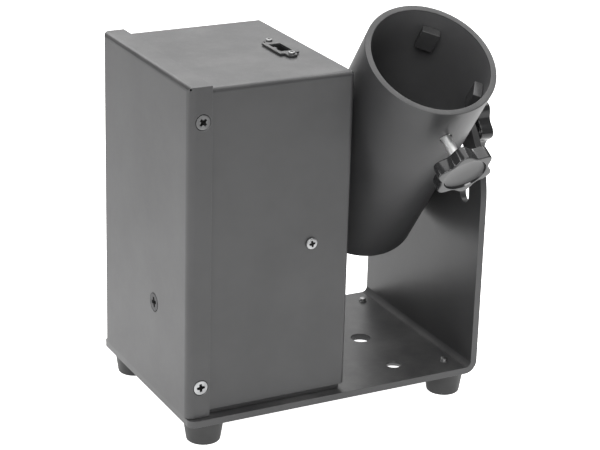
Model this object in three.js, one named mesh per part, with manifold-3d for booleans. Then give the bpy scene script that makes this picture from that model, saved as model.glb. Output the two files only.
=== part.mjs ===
// Confetti launcher: a sheet-metal control box and a tilting steel barrel on one bent bracket.
//
// Millimetres, +Z up. While the pieces are made, x runs from the front panel's face towards the
// upright, y from the right flange's face towards the left side, and z from the top of the base
// plate. Inside the barrel's own group z runs along the barrel, from the pivot to the muzzle.
// At the end the whole object is set down on the floor, with its middle over the origin.

import * as THREE from 'three';
import { mergeVertices } from 'three/addons/utils/BufferGeometryUtils.js';
import Module from 'manifold-3d';

// Driving dimensions

const GAP = 0.3; // left between pieces that touch
const MIDDLE = { x: 99.75, y: 34.5 }; // middle of the whole object, over the origin

const BOX = { length: 99, width: 120, top: 190.5, sheet: 1.5 };

const PANEL = {
  flange: 13.4, // how far the side and top flanges reach back
  bend: 4, // outer bend radius
  bottom: 0.5,
  reliefRadius: 0.85,
};

// The cover slips inside the panel's flanges.
const COVER = {
  start: 4.2, // front edge, just behind the panel's bends
  inset: BOX.sheet + GAP,
  bottom: 3.5,
  bend: 3,
  reliefRadius: 0.9,
};

const BRACKET = {
  start: 0.5,
  end: 185, // outer face of the upright
  overhang: 3, // the plate is wider than the box on each side
  thickness: 4,
  bend: 7.5, // outer bend radius
  clampHole: { x: 142, y: 60, radius: 6 },
  corner: 4.5, // rounding of the plate's front corners
  boltHoles: { x: 141, inset: 18.3, radius: 4.25, sink: 2.75 }, // countersunk from below
  baseScrewX: [30, 84],
};

const FOOT = {
  height: 14.1,
  topRadius: 11.6,
  bottomRadius: 9.6,
  edge: 0.9, // rounding of the bottom edge
  recessRadius: 5,
  recessDepth: 6,
  hole: 2.4,
  frontX: 14.7,
  rearX: 170.9,
  insetY: 10.6, // from the box's sides
};
const FOOT_SCREW = { headRadius: 3.8, headHeight: 2.6, radius: 1.95, hole: 2.3, above: 1.5 };

const CHASSIS = {
  front: 3.5,
  rear: 96,
  wallTop: 13,
  postRear: 16, // the posts behind the front panel reach back to here
  postTop: 184,
  tieBottom: 176,
};

// Threaded rods and the holes they pass through, with the nuts of the larger one.
const M8 = { radius: 3.9, hole: 4.3, nutFlats: 13, nutHeight: 6.2 };
const M6 = { radius: 2.9, hole: 3.3 };

const BARREL = {
  outer: 38.05,
  inner: 34.45,
  above: 113, // pivot to muzzle
  below: 24, // pivot to the lower end
  tilt: 36.1, // degrees from upright, towards the right side
};
const PIVOT = { x: 141, y: 60, z: 101.5 };
const SLOT = { radius: 45.4, halfWidth: 4.5, fromTilt: -1.5, toTilt: 89.6 };

const STAR = {
  tip: 17.6,
  valley: 14,
  lobes: 6,
  lobeSharpness: 1.3,
  thickness: 8.2,
  edge: 0.7,
  dishRadius: 12.4,
  dishWall: 2, // straight wall round the dish
  dishDepth: 0.6, // further hollow of its floor
  hubRadius: 7,
  hubLength: 3.2,
  socket: 4, // how far the rod's bore goes into the head
};
const WASHER = { radius: 9.5, thickness: 2.5 };
const KNOB_TURN = { tilt: 2.9, clamp: 50.2 }; // degrees, where a lobe stands at rest

// Distances out from the barrel's axis.
const PIVOT_BOLT = { head: 29.5, seat: 33.1, headRadius: 8, past: 9.5 };
const TILT = { rodStart: 25.8, nut: 27 };
const CLAMP = {
  height: 91.1, // from the pivot, along the barrel
  swing: 1.4, // degrees off the barrel's lower side, towards the upright
  face: 63, // the knob's face
  rodStart: 30.4,
  padStart: 25.5,
  padRadius: 7,
};

const BARREL_BASE = { thickness: 2.7, cableHole: 10 };
const GUIDE_PAD = {
  angles: [59, 148.5, 283.75], // from the barrel's lower side
  width: 10.5,
  height: 5.2,
  from: 88,
  to: 102.3,
};

const FLANGE_SCREW = { x: 8.1, z: [18.5, 171], headRadius: 4.1, radius: 2 };
const SIDE_SCREW = { x: 74.8, z: 92.8, headRadius: 3.3, radius: 1.5 };

const PORT = {
  x: 79.6,
  y: 53.9,
  openingX: 7.2,
  openingY: 15.2,
  screwSpacing: 28,
  screwHole: 1.5,
  plate: 1.2,
  plateHalf: [5.9, 11.6],
  ear: { reach: 17.2, half: 3.2, tip: 1.7, corner: 15.4 }, // round each screw
  keyReach: 1.1,
  keyHalf: 1.6,
  socketDepth: 14,
  cavityDepth: 12,
  socketWallX: 1.2,
  socketWallY: 1.4,
  tongue: { offset: 1.1, thickness: 1.8, half: 5.8, below: 2 },
};

const TRANSFORMER = {
  y: 46,
  z: 53.2,
  radius: 34,
  bore: 9,
  thickness: 30,
  edge: 5,
  pad: 2,
  dishRadius: 25,
  dishThickness: 1.5,
  bolt: 2.5,
  boltHead: 5.1,
};

const BOARD_BRACKET = { x: 66, left: 90, legFrom: 20, legTo: 56, bottom: 16, flangeFrom: 70, top: 172 };
const BOARD = { x: 73, thickness: 1.6, y0: 12, y1: 84, z0: 56, z1: 164, postInset: 5 };
const CAPACITOR = { y: 66, z: 138, radius: 8, height: 16 };

// What stands on the left side: places, and distances out of (+) or into (-) its face.
const LEFT = {
  display: { x: 56, z: 158, width: 40, height: 16, lip: 2, proud: 0.2 },
  board: { x0: 24, x1: 88, z0: 124, z1: 170, y: 106, thickness: 1.6 },
  buttons: {
    x: [35, 49, 63, 77], z: 134, radius: 4, collar: 1.2, stem: 1.5, end: 111.6, proud: 1.7,
    travelRoom: 1.4, // from a stem's end to its switch
  },
  dataSockets: {
    x: [36, 76], z: 100, halfX: 13, halfZ: 15.5, cut: 3, plate: 1.8, radius: 11.7, back: 97,
    hole: 12.1, recess: 9.4, recessDepth: 13, contactCircle: 5, pin: 1.2, contactHole: 1.3,
    grooveOuter: 9.6, grooveInner: 8.4, grooveDepth: 12,
  },
  inlet: {
    x: 40, z: 34, halfX: 24, halfZ: 12, corner: 4, plate: 2, bodyX: 13.9, bodyZ: 10.1, back: 98,
    mouthX: 12.1, mouthZ: 8, depth: 15, pinSpacing: 7, pinHalf: 1,
  },
  fuse: { x: 80, z: 28, radius: 6, capRadius: 8, cap: 4.4, back: 92, slotHalf: 5, slotWidth: 1.4 },
  trigger: {
    x: 80, z: 60, radius: 8, rim: 10.5, proud: 3.4, back: 100, recess: 6.2, depth: 10,
    pinSpacing: 8, pin: 1,
  },
};

// Colours and finishes

const POWDER_BLACK = { color: 0x2b2b2c, roughness: 0.62, metalness: 0.25 };
const ZINC = { color: 0xc9ccd0, roughness: 0.28, metalness: 1 };
const RAW_STEEL = { color: 0x9b9da0, roughness: 0.4, metalness: 1 };
const BLACK_STEEL = { color: 0x1c1c1d, roughness: 0.4, metalness: 0.8 };
const RUBBER = { color: 0x161616, roughness: 0.85, metalness: 0 };
const GLOSS_BLACK = { color: 0x0d0d0e, roughness: 0.18, metalness: 0 };
const MATT_BLACK = { color: 0x1a1a1b, roughness: 0.6, metalness: 0 };
const BOARD_GREEN = { color: 0x1d5a34, roughness: 0.5, metalness: 0 };
const TAPE_YELLOW = { color: 0xb99a3a, roughness: 0.45, metalness: 0 };
const RELAY_BLUE = { color: 0x1f4f9a, roughness: 0.4, metalness: 0 };
const WINDOW_RED = { color: 0x3a0c0c, roughness: 0.08, metalness: 0 };

// Solids from three.js geometry

const wasm = await Module();
wasm.setup();

function solid(geometry) {
  const bare = geometry.clone();
  bare.deleteAttribute('normal');
  bare.deleteAttribute('uv');
  const welded = mergeVertices(bare, 1e-4);
  const corners = welded.index.array;
  const kept = [];
  for (let i = 0; i < corners.length; i += 3) {
    const [a, b, c] = [corners[i], corners[i + 1], corners[i + 2]];
    if (a !== b && b !== c && c !== a) kept.push(a, b, c);
  }
  return new wasm.Manifold(new wasm.Mesh({
    numProp: 3,
    vertProperties: new Float32Array(welded.attributes.position.array),
    triVerts: new Uint32Array(kept),
  }));
}

function geometryOf(manifold) {
  const result = manifold.getMesh();
  const geometry = new THREE.BufferGeometry();
  geometry.setAttribute('position', new THREE.BufferAttribute(result.vertProperties, 3));
  geometry.setIndex(new THREE.BufferAttribute(result.triVerts, 1));
  geometry.computeVertexNormals();
  return geometry;
}

function block(x0, x1, y0, y1, z0, z1) {
  const geometry = new THREE.BoxGeometry(x1 - x0, y1 - y0, z1 - z0);
  geometry.translate((x0 + x1) / 2, (y0 + y1) / 2, (z0 + z1) / 2);
  return solid(geometry);
}

// Turns geometry made along Z so that it runs along another axis.
const ALONG = {
  x: new THREE.Matrix4().makeBasis(
    new THREE.Vector3(0, 1, 0), new THREE.Vector3(0, 0, 1), new THREE.Vector3(1, 0, 0)),
  y: new THREE.Matrix4().makeBasis(
    new THREE.Vector3(0, 0, 1), new THREE.Vector3(1, 0, 0), new THREE.Vector3(0, 1, 0)),
  z: new THREE.Matrix4(),
};

// A turned piece: profile points are [radius, distance along the axis], anticlockwise.
function turned(profile, axis, at = [0, 0, 0], sides = 20) {
  const points = profile.map(([radius, along]) => new THREE.Vector2(radius, along));
  const geometry = new THREE.LatheGeometry(points, sides);
  geometry.rotateX(Math.PI / 2);
  geometry.applyMatrix4(ALONG[axis]);
  geometry.translate(...at);
  return solid(geometry);
}

function rod(radius, from, to, axis, at = [0, 0, 0], sides = 20) {
  return turned([[0, from], [radius, from], [radius, to], [0, to]], axis, at, sides);
}

function ring(outer, inner, from, to, axis, at = [0, 0, 0], sides = 20) {
  const profile = [[inner, from], [outer, from], [outer, to], [inner, to], [inner, from]];
  return turned(profile, axis, at, sides);
}

// Steps are per curve: a quarter bend gets twice as many facets.
function extruded(shape, depth, steps = 2) {
  return new THREE.ExtrudeGeometry(shape, { depth, bevelEnabled: false, curveSegments: steps });
}

// An outline in x and y, raised from z0 to z1.
function alongZ(shape, z0, z1) {
  return solid(extruded(shape, z1 - z0).translate(0, 0, z0));
}

// An outline in x and z, carried from y0 to y1.
function alongY(shape, y0, y1) {
  return solid(extruded(shape, y1 - y0).rotateX(Math.PI / 2).translate(0, y1, 0));
}

// An outline in y and z, carried from x0 to x1.
function alongX(shape, x0, x1, steps) {
  return solid(extruded(shape, x1 - x0, steps).applyMatrix4(ALONG.x).translate(x0, 0, 0));
}

// A rectangle whose four corners are rounded each in its own radius, from the lower left one
// anticlockwise.
function rounded(x0, y0, x1, y1, [r1, r2, r3, r4]) {
  const shape = new THREE.Shape();
  shape.moveTo(x0 + r1, y0);
  shape.lineTo(x1 - r2, y0);
  if (r2) shape.absarc(x1 - r2, y0 + r2, r2, -Math.PI / 2, 0, false);
  shape.lineTo(x1, y1 - r3);
  if (r3) shape.absarc(x1 - r3, y1 - r3, r3, 0, Math.PI / 2, false);
  shape.lineTo(x0 + r4, y1);
  if (r4) shape.absarc(x0 + r4, y1 - r4, r4, Math.PI / 2, Math.PI, false);
  shape.lineTo(x0, y0 + r1);
  if (r1) shape.absarc(x0 + r1, y0 + r1, r1, Math.PI, 1.5 * Math.PI, false);
  return shape;
}

function polygon(points) {
  return new THREE.Shape(points.map(([u, v]) => new THREE.Vector2(u, v)));
}

function cutAll(body, cutters) {
  return cutters.reduce((left, cutter) => left.subtract(cutter), body);
}

function joinAll(pieces) {
  return pieces.reduce((whole, piece) => whole.add(piece));
}

const SCREW_SIDES = 12;

// A cross-head recess, cut along -Z from the top of a head at height z.
function crossRecess(size, depth, z) {
  const arm = size / 2;
  const slot = size * 0.14;
  const one = block(-arm, arm, -slot, slot, z - depth, z + 1);
  const other = block(-slot, slot, -arm, arm, z - depth, z + 1);
  return one.add(other);
}

// A countersunk screw along -Z: the rim of its head is at z = 0, and its top swells by `raised`.
function countersunkScrew(headRadius, radius, length, raised = 0, turn = 0) {
  const headDepth = headRadius - radius;
  const top = raised ? [[headRadius * 0.6, raised * 0.75], [0, raised]] : [[0, 0]];
  const body = turned(
    [[0, -length], [radius, -length], [radius, -headDepth - 0.2], [headRadius, -0.2],
      [headRadius, 0], ...top], 'z', [0, 0, 0], SCREW_SIDES);
  const depth = headDepth * 0.8 + raised;
  return body.subtract(crossRecess(headRadius * 1.15, depth, raised)).rotate([0, 0, turn]);
}

// A pan-head screw along -Z whose head sits on z = 0.
function panScrew(headRadius, headHeight, radius, length, turn = 0) {
  const body = turned(
    [[0, -length], [radius, -length], [radius, 0], [headRadius, 0],
      [headRadius, headHeight * 0.5], [headRadius * 0.7, headHeight * 0.9], [0, headHeight]],
    'z', [0, 0, 0], SCREW_SIDES);
  const cross = crossRecess(headRadius * 1.1, headHeight * 0.7, headHeight);
  return body.subtract(cross).rotate([0, 0, turn]);
}

function hexNut(acrossFlats, bore, height) {
  const corner = acrossFlats / Math.sqrt(3);
  return rod(corner, 0, height, 'z', [0, 0, 0], 6).subtract(rod(bore, -1, height + 1, 'z'));
}

// Box: front panel, cover and chassis

function leftOf(y) {
  return BOX.width - y;
}

// The profile of a countersunk hole for an M4 screw, from a face at 0 to the given depth.
function screwHole(depth) {
  const { headRadius, radius } = FLANGE_SCREW;
  const wide = headRadius + 2 * GAP;
  const narrow = radius + GAP;
  return [[0, -1], [wide + 1, -1], [narrow, wide - narrow], [narrow, depth], [0, depth]];
}

// The holes that the flange screws' cones and shanks pass through, on both sides.
function flangeScrewHoles() {
  const { x } = FLANGE_SCREW;
  const profile = screwHole(7);
  const mirrored = profile.map(([r, y]) => [r, -y]).reverse();
  return FLANGE_SCREW.z.flatMap((z) => [
    turned(profile, 'y', [x, 0, z], SCREW_SIDES),
    turned(mirrored, 'y', [x, BOX.width, z], SCREW_SIDES),
  ]);
}

function frontPanel() {
  const { flange, bend, bottom, reliefRadius } = PANEL;
  const { width, top, sheet } = BOX;
  const plan = rounded(0, 0, flange, width, [bend, 0, 0, bend]);
  const side = rounded(0, bottom, flange, top, [0, 0, 0, bend]);
  const innerBend = bend - sheet;
  const innerPlan = rounded(sheet, sheet, flange + 1, leftOf(sheet), [innerBend, 0, 0, innerBend]);
  const innerSide = rounded(sheet, -1, flange + 1, top - sheet, [0, 0, 0, innerBend]);
  const outer = alongZ(plan, 0, top).intersect(alongY(side, 0, width));
  const inner = alongZ(innerPlan, -1, top).intersect(alongY(innerSide, 0, width));
  const narrow = TRANSFORMER.bolt + GAP;
  const wide = TRANSFORMER.boltHead + 1 + 2 * GAP;
  const boltHole = turned(
    [[0, -1], [wide, -1], [narrow, wide - narrow - 1], [narrow, 2 * sheet], [0, 2 * sheet]],
    'x', [0, TRANSFORMER.y, TRANSFORMER.z]);
  const corners = [[1, 0], [-1, width]].map(([inwards, y]) => reliefHole(
    [1, inwards, -1], [0, y, top], reliefRadius));
  return cutAll(outer.subtract(inner), [...flangeScrewHoles(), boltHole, ...corners]);
}

// A small drilled hole through a corner where bends meet, along a slanted direction.
function reliefHole(direction, at, radius) {
  const geometry = new THREE.CylinderGeometry(radius, radius, 14, 12);
  const towards = new THREE.Vector3(...direction).normalize();
  const turn = new THREE.Quaternion().setFromUnitVectors(new THREE.Vector3(0, 1, 0), towards);
  geometry.applyQuaternion(turn);
  geometry.translate(...at);
  return solid(geometry);
}

function cover() {
  const { start, inset, bottom, bend, reliefRadius } = COVER;
  const { length, sheet } = BOX;
  const top = BOX.top - inset;
  const left = leftOf(inset);
  const outer = coverForm(start, length, inset, left, bottom, top, bend);
  const inner = coverForm(
    -1, length - sheet, inset + sheet, left - sheet, -1, top - sheet, bend - sheet);
  const corners = [[1, inset], [-1, left]].map(([side, y]) => reliefHole(
    [-1, side, -1], [length, y, top], reliefRadius));
  return cutAll(outer.subtract(inner), [
    ...flangeScrewHoles(),
    rod(SIDE_SCREW.radius + GAP, 0, 7, 'y', [SIDE_SCREW.x, 0, SIDE_SCREW.z], SCREW_SIDES),
    portOpening(PORT.socketWallX + GAP, PORT.socketWallY + GAP, top - 4, top + 1),
    ...portScrewPlaces().map((at) => rod(PORT.screwHole, -4, 1, 'z', [...at, top], SCREW_SIDES)),
    ...leftSideOpenings(),
    ...corners,
  ]);
}

// The cover's form: rounded along its top edges and its two rear upright edges.
function coverForm(x0, x1, y0, y1, z0, z1, bend) {
  const plan = alongZ(rounded(x0, y0, x1, y1, [0, bend, bend, 0]), z0, z1);
  const front = alongX(rounded(y0, z0, y1, z1, [0, 0, bend, bend]), x0, x1);
  const side = alongY(rounded(x0, z0, x1, z1, [0, 0, bend, 0]), y0, y1);
  return plan.intersect(front).intersect(side);
}

function chassis() {
  const inside = COVER.inset + BOX.sheet + GAP;
  const left = leftOf(inside);
  const { sheet } = BOX;
  const { front, rear, wallTop, postRear, postTop, tieBottom } = CHASSIS;
  const floor = block(front, rear, inside, left, GAP, GAP + sheet);
  const walls = [inside, left - sheet].flatMap((y) => [
    block(front, rear, y, y + sheet, GAP, wallTop),
    block(front, postRear, y, y + sheet, GAP, postTop),
  ]);
  const backStop = block(rear - sheet, rear, inside, left, GAP, wallTop);
  const tie = block(front, front + sheet, inside, left, tieBottom, postTop);
  const footHoles = [FOOT.insetY, leftOf(FOOT.insetY)].map((y) => rod(
    FOOT_SCREW.radius + 1.15, -1, 4, 'z', [FOOT.frontX, y, 0]));
  const screwHoles = BRACKET.baseScrewX.map((x) => rod(
    FLANGE_SCREW.radius + GAP, -1, 4, 'z', [x, BOX.width / 2, 0]));
  const body = joinAll([floor, ...walls, backStop, tie]);
  return cutAll(body, [...footHoles, ...screwHoles, ...flangeScrewHoles()]);
}

// Bracket and feet

function bracket() {
  const { start, end, overhang, thickness, bend, clampHole, boltHoles, baseScrewX } = BRACKET;
  const right = -overhang;
  const left = BOX.width + overhang;
  const archRadius = (left - right) / 2;
  const crown = PIVOT.z + archRadius;
  const profile = new THREE.Shape();
  profile.moveTo(start, -thickness);
  profile.lineTo(end - bend, -thickness);
  profile.absarc(end - bend, bend - thickness, bend, -Math.PI / 2, 0, false);
  profile.lineTo(end, crown);
  profile.lineTo(end - thickness, crown);
  profile.lineTo(end - thickness, bend - thickness);
  profile.absarc(end - bend, bend - thickness, bend - thickness, 0, -Math.PI / 2, true);
  profile.lineTo(start, 0);
  const outline = new THREE.Shape();
  outline.moveTo(right, -thickness);
  outline.lineTo(left, -thickness);
  outline.lineTo(left, PIVOT.z);
  outline.absarc(PIVOT.y, PIVOT.z, archRadius, 0, Math.PI, false);
  const arched = extruded(outline, end, 24).applyMatrix4(ALONG.x);
  const body = alongY(profile, right, left).intersect(solid(arched));
  const baseHoles = [
    rod(clampHole.radius, -6, 2, 'z', [clampHole.x, clampHole.y, 0]),
    ...[boltHoles.inset, leftOf(boltHoles.inset)].map((y) => turned(
      boltHoleProfile(), 'z', [boltHoles.x, y, 0])),
    ...footPlaces().map(([x, y]) => rod(FOOT_SCREW.hole, -6, 2, 'z', [x, y, 0], 16)),
    ...baseScrewX.map((x) => turned(
      screwHole(thickness + 1), 'z', [x, BOX.width / 2, -thickness], SCREW_SIDES)),
  ];
  const pivotHole = rod(M8.hole, end - 10, end + 2, 'x', [0, PIVOT.y, PIVOT.z]);
  const slot = arcSlot(end - 10, end + 2);
  return cutAll(body, [...baseHoles, ...cornerCuts(right, left), pivotHole, slot]);
}

function boltHoleProfile() {
  const { thickness, boltHoles } = BRACKET;
  const { radius, sink } = boltHoles;
  const below = -thickness - 1;
  return [[0, below], [radius + sink + 1, below], [radius, sink - thickness], [radius, 2], [0, 2]];
}

// What comes off the plate to round its two front corners.
function cornerCuts(right, left) {
  const { start, thickness, corner } = BRACKET;
  const x = start + corner;
  return [[right, 1], [left, -1]].map(([edge, inwards]) => {
    const y = edge + inwards * corner;
    const square = block(
      start - 1, x, Math.min(edge - inwards, y), Math.max(edge - inwards, y), -thickness - 1, 1);
    return square.subtract(rod(corner, -thickness - 2, 2, 'z', [x, y, 0]));
  });
}

// The curved slot that the tilt knob's stud runs in, centred on the pivot.
function arcSlot(x0, x1) {
  const { radius, halfWidth, fromTilt, toTilt } = SLOT;
  const first = Math.PI / 2 + THREE.MathUtils.degToRad(fromTilt);
  const last = Math.PI / 2 + THREE.MathUtils.degToRad(toTilt);
  const end = (angle, r) => [PIVOT.y + r * Math.cos(angle), PIVOT.z + r * Math.sin(angle)];
  const shape = new THREE.Shape();
  shape.absarc(PIVOT.y, PIVOT.z, radius + halfWidth, first, last, false);
  shape.absarc(...end(last, radius), halfWidth, last, last + Math.PI, false);
  shape.absarc(PIVOT.y, PIVOT.z, radius - halfWidth, last, first, true);
  shape.absarc(...end(first, radius), halfWidth, first + Math.PI, first + 2 * Math.PI, false);
  return alongX(shape, x0, x1, 9);
}

function footPlaces() {
  const places = [];
  for (const x of [FOOT.frontX, FOOT.rearX]) {
    for (const y of [FOOT.insetY, leftOf(FOOT.insetY)]) {
      places.push([x, y]);
    }
  }
  return places;
}

function foot() {
  const { height, topRadius, bottomRadius, edge, recessRadius, recessDepth, hole } = FOOT;
  const profile = [
    [recessRadius, -height],
    [bottomRadius - edge, -height],
    [bottomRadius - edge * 0.3, -height + edge * 0.3],
    [bottomRadius, -height + edge],
    [topRadius, -GAP],
    [hole, -GAP],
    [hole, -height + recessDepth],
    [recessRadius, -height + recessDepth],
    [recessRadius, -height],
  ];
  return turned(profile, 'z');
}

function footScrew() {
  const { headRadius, headHeight, radius, above } = FOOT_SCREW;
  const seat = -FOOT.height + FOOT.recessDepth - GAP;
  const tip = BRACKET.thickness + above;
  return panScrew(headRadius, headHeight, radius, tip - seat)
    .rotate([180, 0, 0])
    .translate([0, 0, seat]);
}

// Data port on the top

// The port's mouth, widened on each side along x and along y.
function portOpening(marginX, marginY, z0, z1) {
  const { x, y, openingX, openingY } = PORT;
  const halfX = openingX / 2 + marginX;
  const halfY = openingY / 2 + marginY;
  return block(x - halfX, x + halfX, y - halfY, y + halfY, z0, z1);
}

function portScrewPlaces() {
  return [-1, 1].map((side) => [PORT.x, PORT.y + side * PORT.screwSpacing / 2]);
}

function coverTop() {
  return BOX.top - COVER.inset;
}

function portPlate() {
  const { x, y, openingX, plate, plateHalf, ear, keyReach, keyHalf, screwHole } = PORT;
  const [halfX, halfY] = plateHalf;
  const quarter = [
    [halfX, halfY], [ear.half, halfY], [ear.half, ear.corner], [ear.tip, ear.reach]];
  const inward = [...quarter].reverse();
  const corners = [
    ...quarter,
    ...inward.map(([dx, dy]) => [-dx, dy]),
    ...quarter.map(([dx, dy]) => [-dx, -dy]),
    ...inward.map(([dx, dy]) => [dx, -dy]),
  ];
  const outline = polygon(corners.map(([dx, dy]) => [x + dx, y + dy]));
  const z = coverTop() + GAP;
  const keySide = x - openingX / 2;
  const key = block(keySide - 1, keySide + keyReach, y - keyHalf, y + keyHalf, z, z + plate);
  const opening = portOpening(0, 0, z - 1, z + 3);
  const holes = portScrewPlaces().map((at) => rod(screwHole, -1, 3, 'z', [...at, z], 16));
  return cutAll(alongZ(outline, z, z + plate), [opening.subtract(key), ...holes]);
}

function portSocket() {
  const { x, y, socketWallX, socketWallY, socketDepth, cavityDepth, tongue } = PORT;
  const top = coverTop();
  const body = portOpening(socketWallX, socketWallY, top - socketDepth, top);
  const cavity = portOpening(0, 0, top - cavityDepth, top + 1);
  const near = x + tongue.offset;
  const blade = block(
    near, near + tongue.thickness, y - tongue.half, y + tongue.half,
    top - cavityDepth - 1, top - tongue.below);
  return body.subtract(cavity).add(blade);
}

// Transformer on the front panel

function transformerParts() {
  const { radius, bore, thickness, y, z, edge, pad, bolt, boltHead } = TRANSFORMER;
  const { dishRadius, dishThickness } = TRANSFORMER;
  const at = [0, y, z];
  const padFrom = BOX.sheet + GAP;
  const coilFrom = padFrom + pad + GAP;
  const coilTo = coilFrom + thickness;
  const dishFrom = coilTo + GAP;
  const nutFrom = dishFrom + dishThickness + GAP;
  const coil = [
    [bore, coilFrom + 2], [bore + 2, coilFrom], [radius - edge, coilFrom],
    [radius - edge * 0.3, coilFrom + edge * 0.3], [radius, coilFrom + edge],
    [radius, coilTo - edge], [radius - edge * 0.3, coilTo - edge * 0.3],
    [radius - edge, coilTo], [bore + 2, coilTo], [bore, coilTo - 2], [bore, coilFrom + 2],
  ];
  const screw = countersunkScrew(boltHead, bolt, nutFrom + 7);
  return {
    pad: ring(radius - 1, 6, padFrom, padFrom + pad, 'x', at, 24),
    coil: turned(coil, 'x', at, 28),
    dish: ring(dishRadius, bolt + 0.4, dishFrom, dishFrom + dishThickness, 'x', at, 24),
    nut: hexNut(8, bolt + GAP, 4).rotate([0, 90, 0]).translate([nutFrom, y, z]),
    bolt: screw.rotate([0, -90, 0]).translate(at),
  };
}

// Boards inside the box

function boardBracket() {
  const { x, left, legFrom, legTo, bottom, flangeFrom, top } = BOARD_BRACKET;
  const { sheet } = BOX;
  const right = COVER.inset + sheet + GAP;
  const floor = 2 * GAP + sheet;
  const plate = block(x, x + sheet, right, left, bottom, top);
  const leg = block(x, x + sheet, legFrom, legTo, floor, bottom + 1);
  const flange = block(x, x + 17, right, right + sheet, flangeFrom, top);
  const footFlange = block(x, x + 15, legFrom, legTo, floor, floor + sheet);
  const hole = rod(
    SIDE_SCREW.radius + GAP, 0, 12, 'y', [SIDE_SCREW.x, 0, SIDE_SCREW.z], SCREW_SIDES);
  return joinAll([plate, leg, flange, footFlange]).subtract(hole);
}

function mainBoard() {
  const { x, thickness, y0, y1, z0, z1, postInset } = BOARD;
  const face = x + thickness;
  const postFrom = BOARD_BRACKET.x + BOX.sheet + GAP;
  const posts = [y0 + postInset, y1 - postInset].flatMap((y) => (
    [z0 + postInset, z1 - postInset].map((z) => rod(2.5, postFrom, x + 0.5, 'x', [0, y, z], 12))));
  const processor = block(face - 0.5, face + 2.5, 40, 58, 100, 118);
  const leadTerminals = block(face - 0.5, face + 10, 18, 44, z0 + 2, z0 + 11);
  const heatSink = block(face - 0.5, face + 12, 20, 26, 132, 152);
  return joinAll([
    block(x, face, y0, y1, z0, z1), ...posts, processor, leadTerminals, heatSink]);
}

function relay() {
  const face = BOARD.x + BOARD.thickness + GAP;
  return block(face, face + 15.5, 54, 73, 70, 86);
}

function capacitor() {
  const { y, z, radius, height } = CAPACITOR;
  const face = BOARD.x + BOARD.thickness + GAP;
  const profile = [
    [0, face], [radius, face], [radius, face + height - 2], [radius - 0.8, face + height],
    [0, face + height]];
  return turned(profile, 'x', [0, y, z]);
}

// Controls and sockets on the left side

const LEFT_FACE = BOX.width - COVER.inset;
const LEFT_INNER = LEFT_FACE - BOX.sheet;

function leftSideOpenings() {
  const { display, buttons, dataSockets, inlet, fuse, trigger } = LEFT;
  const y0 = LEFT_INNER - 2;
  const y1 = LEFT_FACE + 2;
  const through = (radius, x, z) => rod(radius, y0, y1, 'y', [x, 0, z]);
  const [bodyX, bodyZ] = [inlet.bodyX + GAP, inlet.bodyZ + GAP];
  return [
    blockRound(display.x, display.z, display.width / 2, display.height / 2, y0, y1),
    ...buttons.x.map((x) => through(buttons.radius + 0.4, x, buttons.z)),
    ...dataSockets.x.map((x) => through(dataSockets.hole, x, dataSockets.z)),
    blockRound(inlet.x, inlet.z, bodyX, bodyZ, y0, y1),
    through(fuse.radius + 0.4, fuse.x, fuse.z),
    through(trigger.radius + 0.4, trigger.x, trigger.z),
  ];
}

// A block round a place in x and z, from y0 to y1.
function blockRound(x, z, halfX, halfZ, y0, y1) {
  return block(x - halfX, x + halfX, y0, y1, z - halfZ, z + halfZ);
}

function displayWindow() {
  const { x, z, width, height, lip, proud } = LEFT.display;
  const behind = LEFT_INNER - GAP;
  const pane = blockRound(
    x, z, width / 2 - GAP, height / 2 - GAP, behind - 0.5, LEFT_FACE + proud);
  const rim = blockRound(x, z, width / 2 + lip, height / 2 + lip, behind - 1, behind);
  return pane.add(rim);
}

function displayBoard() {
  const { display, buttons, board } = LEFT;
  const { x0, x1, z0, z1, y, thickness } = board;
  const inBoard = y + 1;
  const digits = blockRound(display.x, display.z, 19, 7, inBoard, LEFT_INNER - 2 * GAP - 1);
  const switches = buttons.x.map((x) => blockRound(
    x, buttons.z, 3, 3, inBoard, buttons.end - buttons.travelRoom));
  const posts = [x0 + 3, x1 - 3].flatMap((x) => [z0 + 3, z1 - 3].map((z) => rod(
    2.4, inBoard, LEFT_INNER - GAP, 'y', [x, 0, z], 12)));
  return joinAll([block(x0, x1, y, y + thickness, z0, z1), digits, ...switches, ...posts]);
}

function button(x) {
  const { radius, z, collar, stem, end, proud } = LEFT.buttons;
  const back = LEFT_INNER - GAP;
  const front = LEFT_FACE + proud;
  const profile = [
    [0, end], [stem, end], [stem, back - 1.5], [radius + collar, back - 1.5],
    [radius + collar, back], [radius, back], [radius, front - 0.4], [radius - 0.4, front],
    [0, front]];
  return turned(profile, 'y', [x, 0, z], 12);
}

// A three-pole data socket: a flange with cut corners and a round body through the wall.
function dataSocketBody(x) {
  const { z, halfX, halfZ, cut, plate, radius, back } = LEFT.dataSockets;
  const corners = [
    [halfX - cut, -halfZ], [halfX, cut - halfZ], [halfX, halfZ - cut], [halfX - cut, halfZ],
    [cut - halfX, halfZ], [-halfX, halfZ - cut], [-halfX, cut - halfZ], [cut - halfX, -halfZ]];
  const outline = polygon(corners.map(([dx, dz]) => [x + dx, z + dz]));
  const flange = alongY(outline, LEFT_FACE + GAP, LEFT_FACE + GAP + plate);
  return flange.add(rod(radius, back, LEFT_FACE + 1, 'y', [x, 0, z]));
}

function contactPlaces(x, z, radius) {
  return [90, 210, 330].map((angle) => {
    const turn = THREE.MathUtils.degToRad(angle);
    return [x + radius * Math.cos(turn), 0, z + radius * Math.sin(turn)];
  });
}

function dataInput() {
  const [x] = LEFT.dataSockets.x;
  const { z, recess, recessDepth, contactCircle, pin } = LEFT.dataSockets;
  const well = rod(recess, LEFT_FACE - recessDepth, LEFT_FACE + 5, 'y', [x, 0, z]);
  const pins = contactPlaces(x, z, contactCircle).map((at) => rod(
    pin, LEFT_FACE - recessDepth - 1, LEFT_FACE - 2, 'y', at, 10));
  return joinAll([dataSocketBody(x).subtract(well), ...pins]);
}

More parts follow.
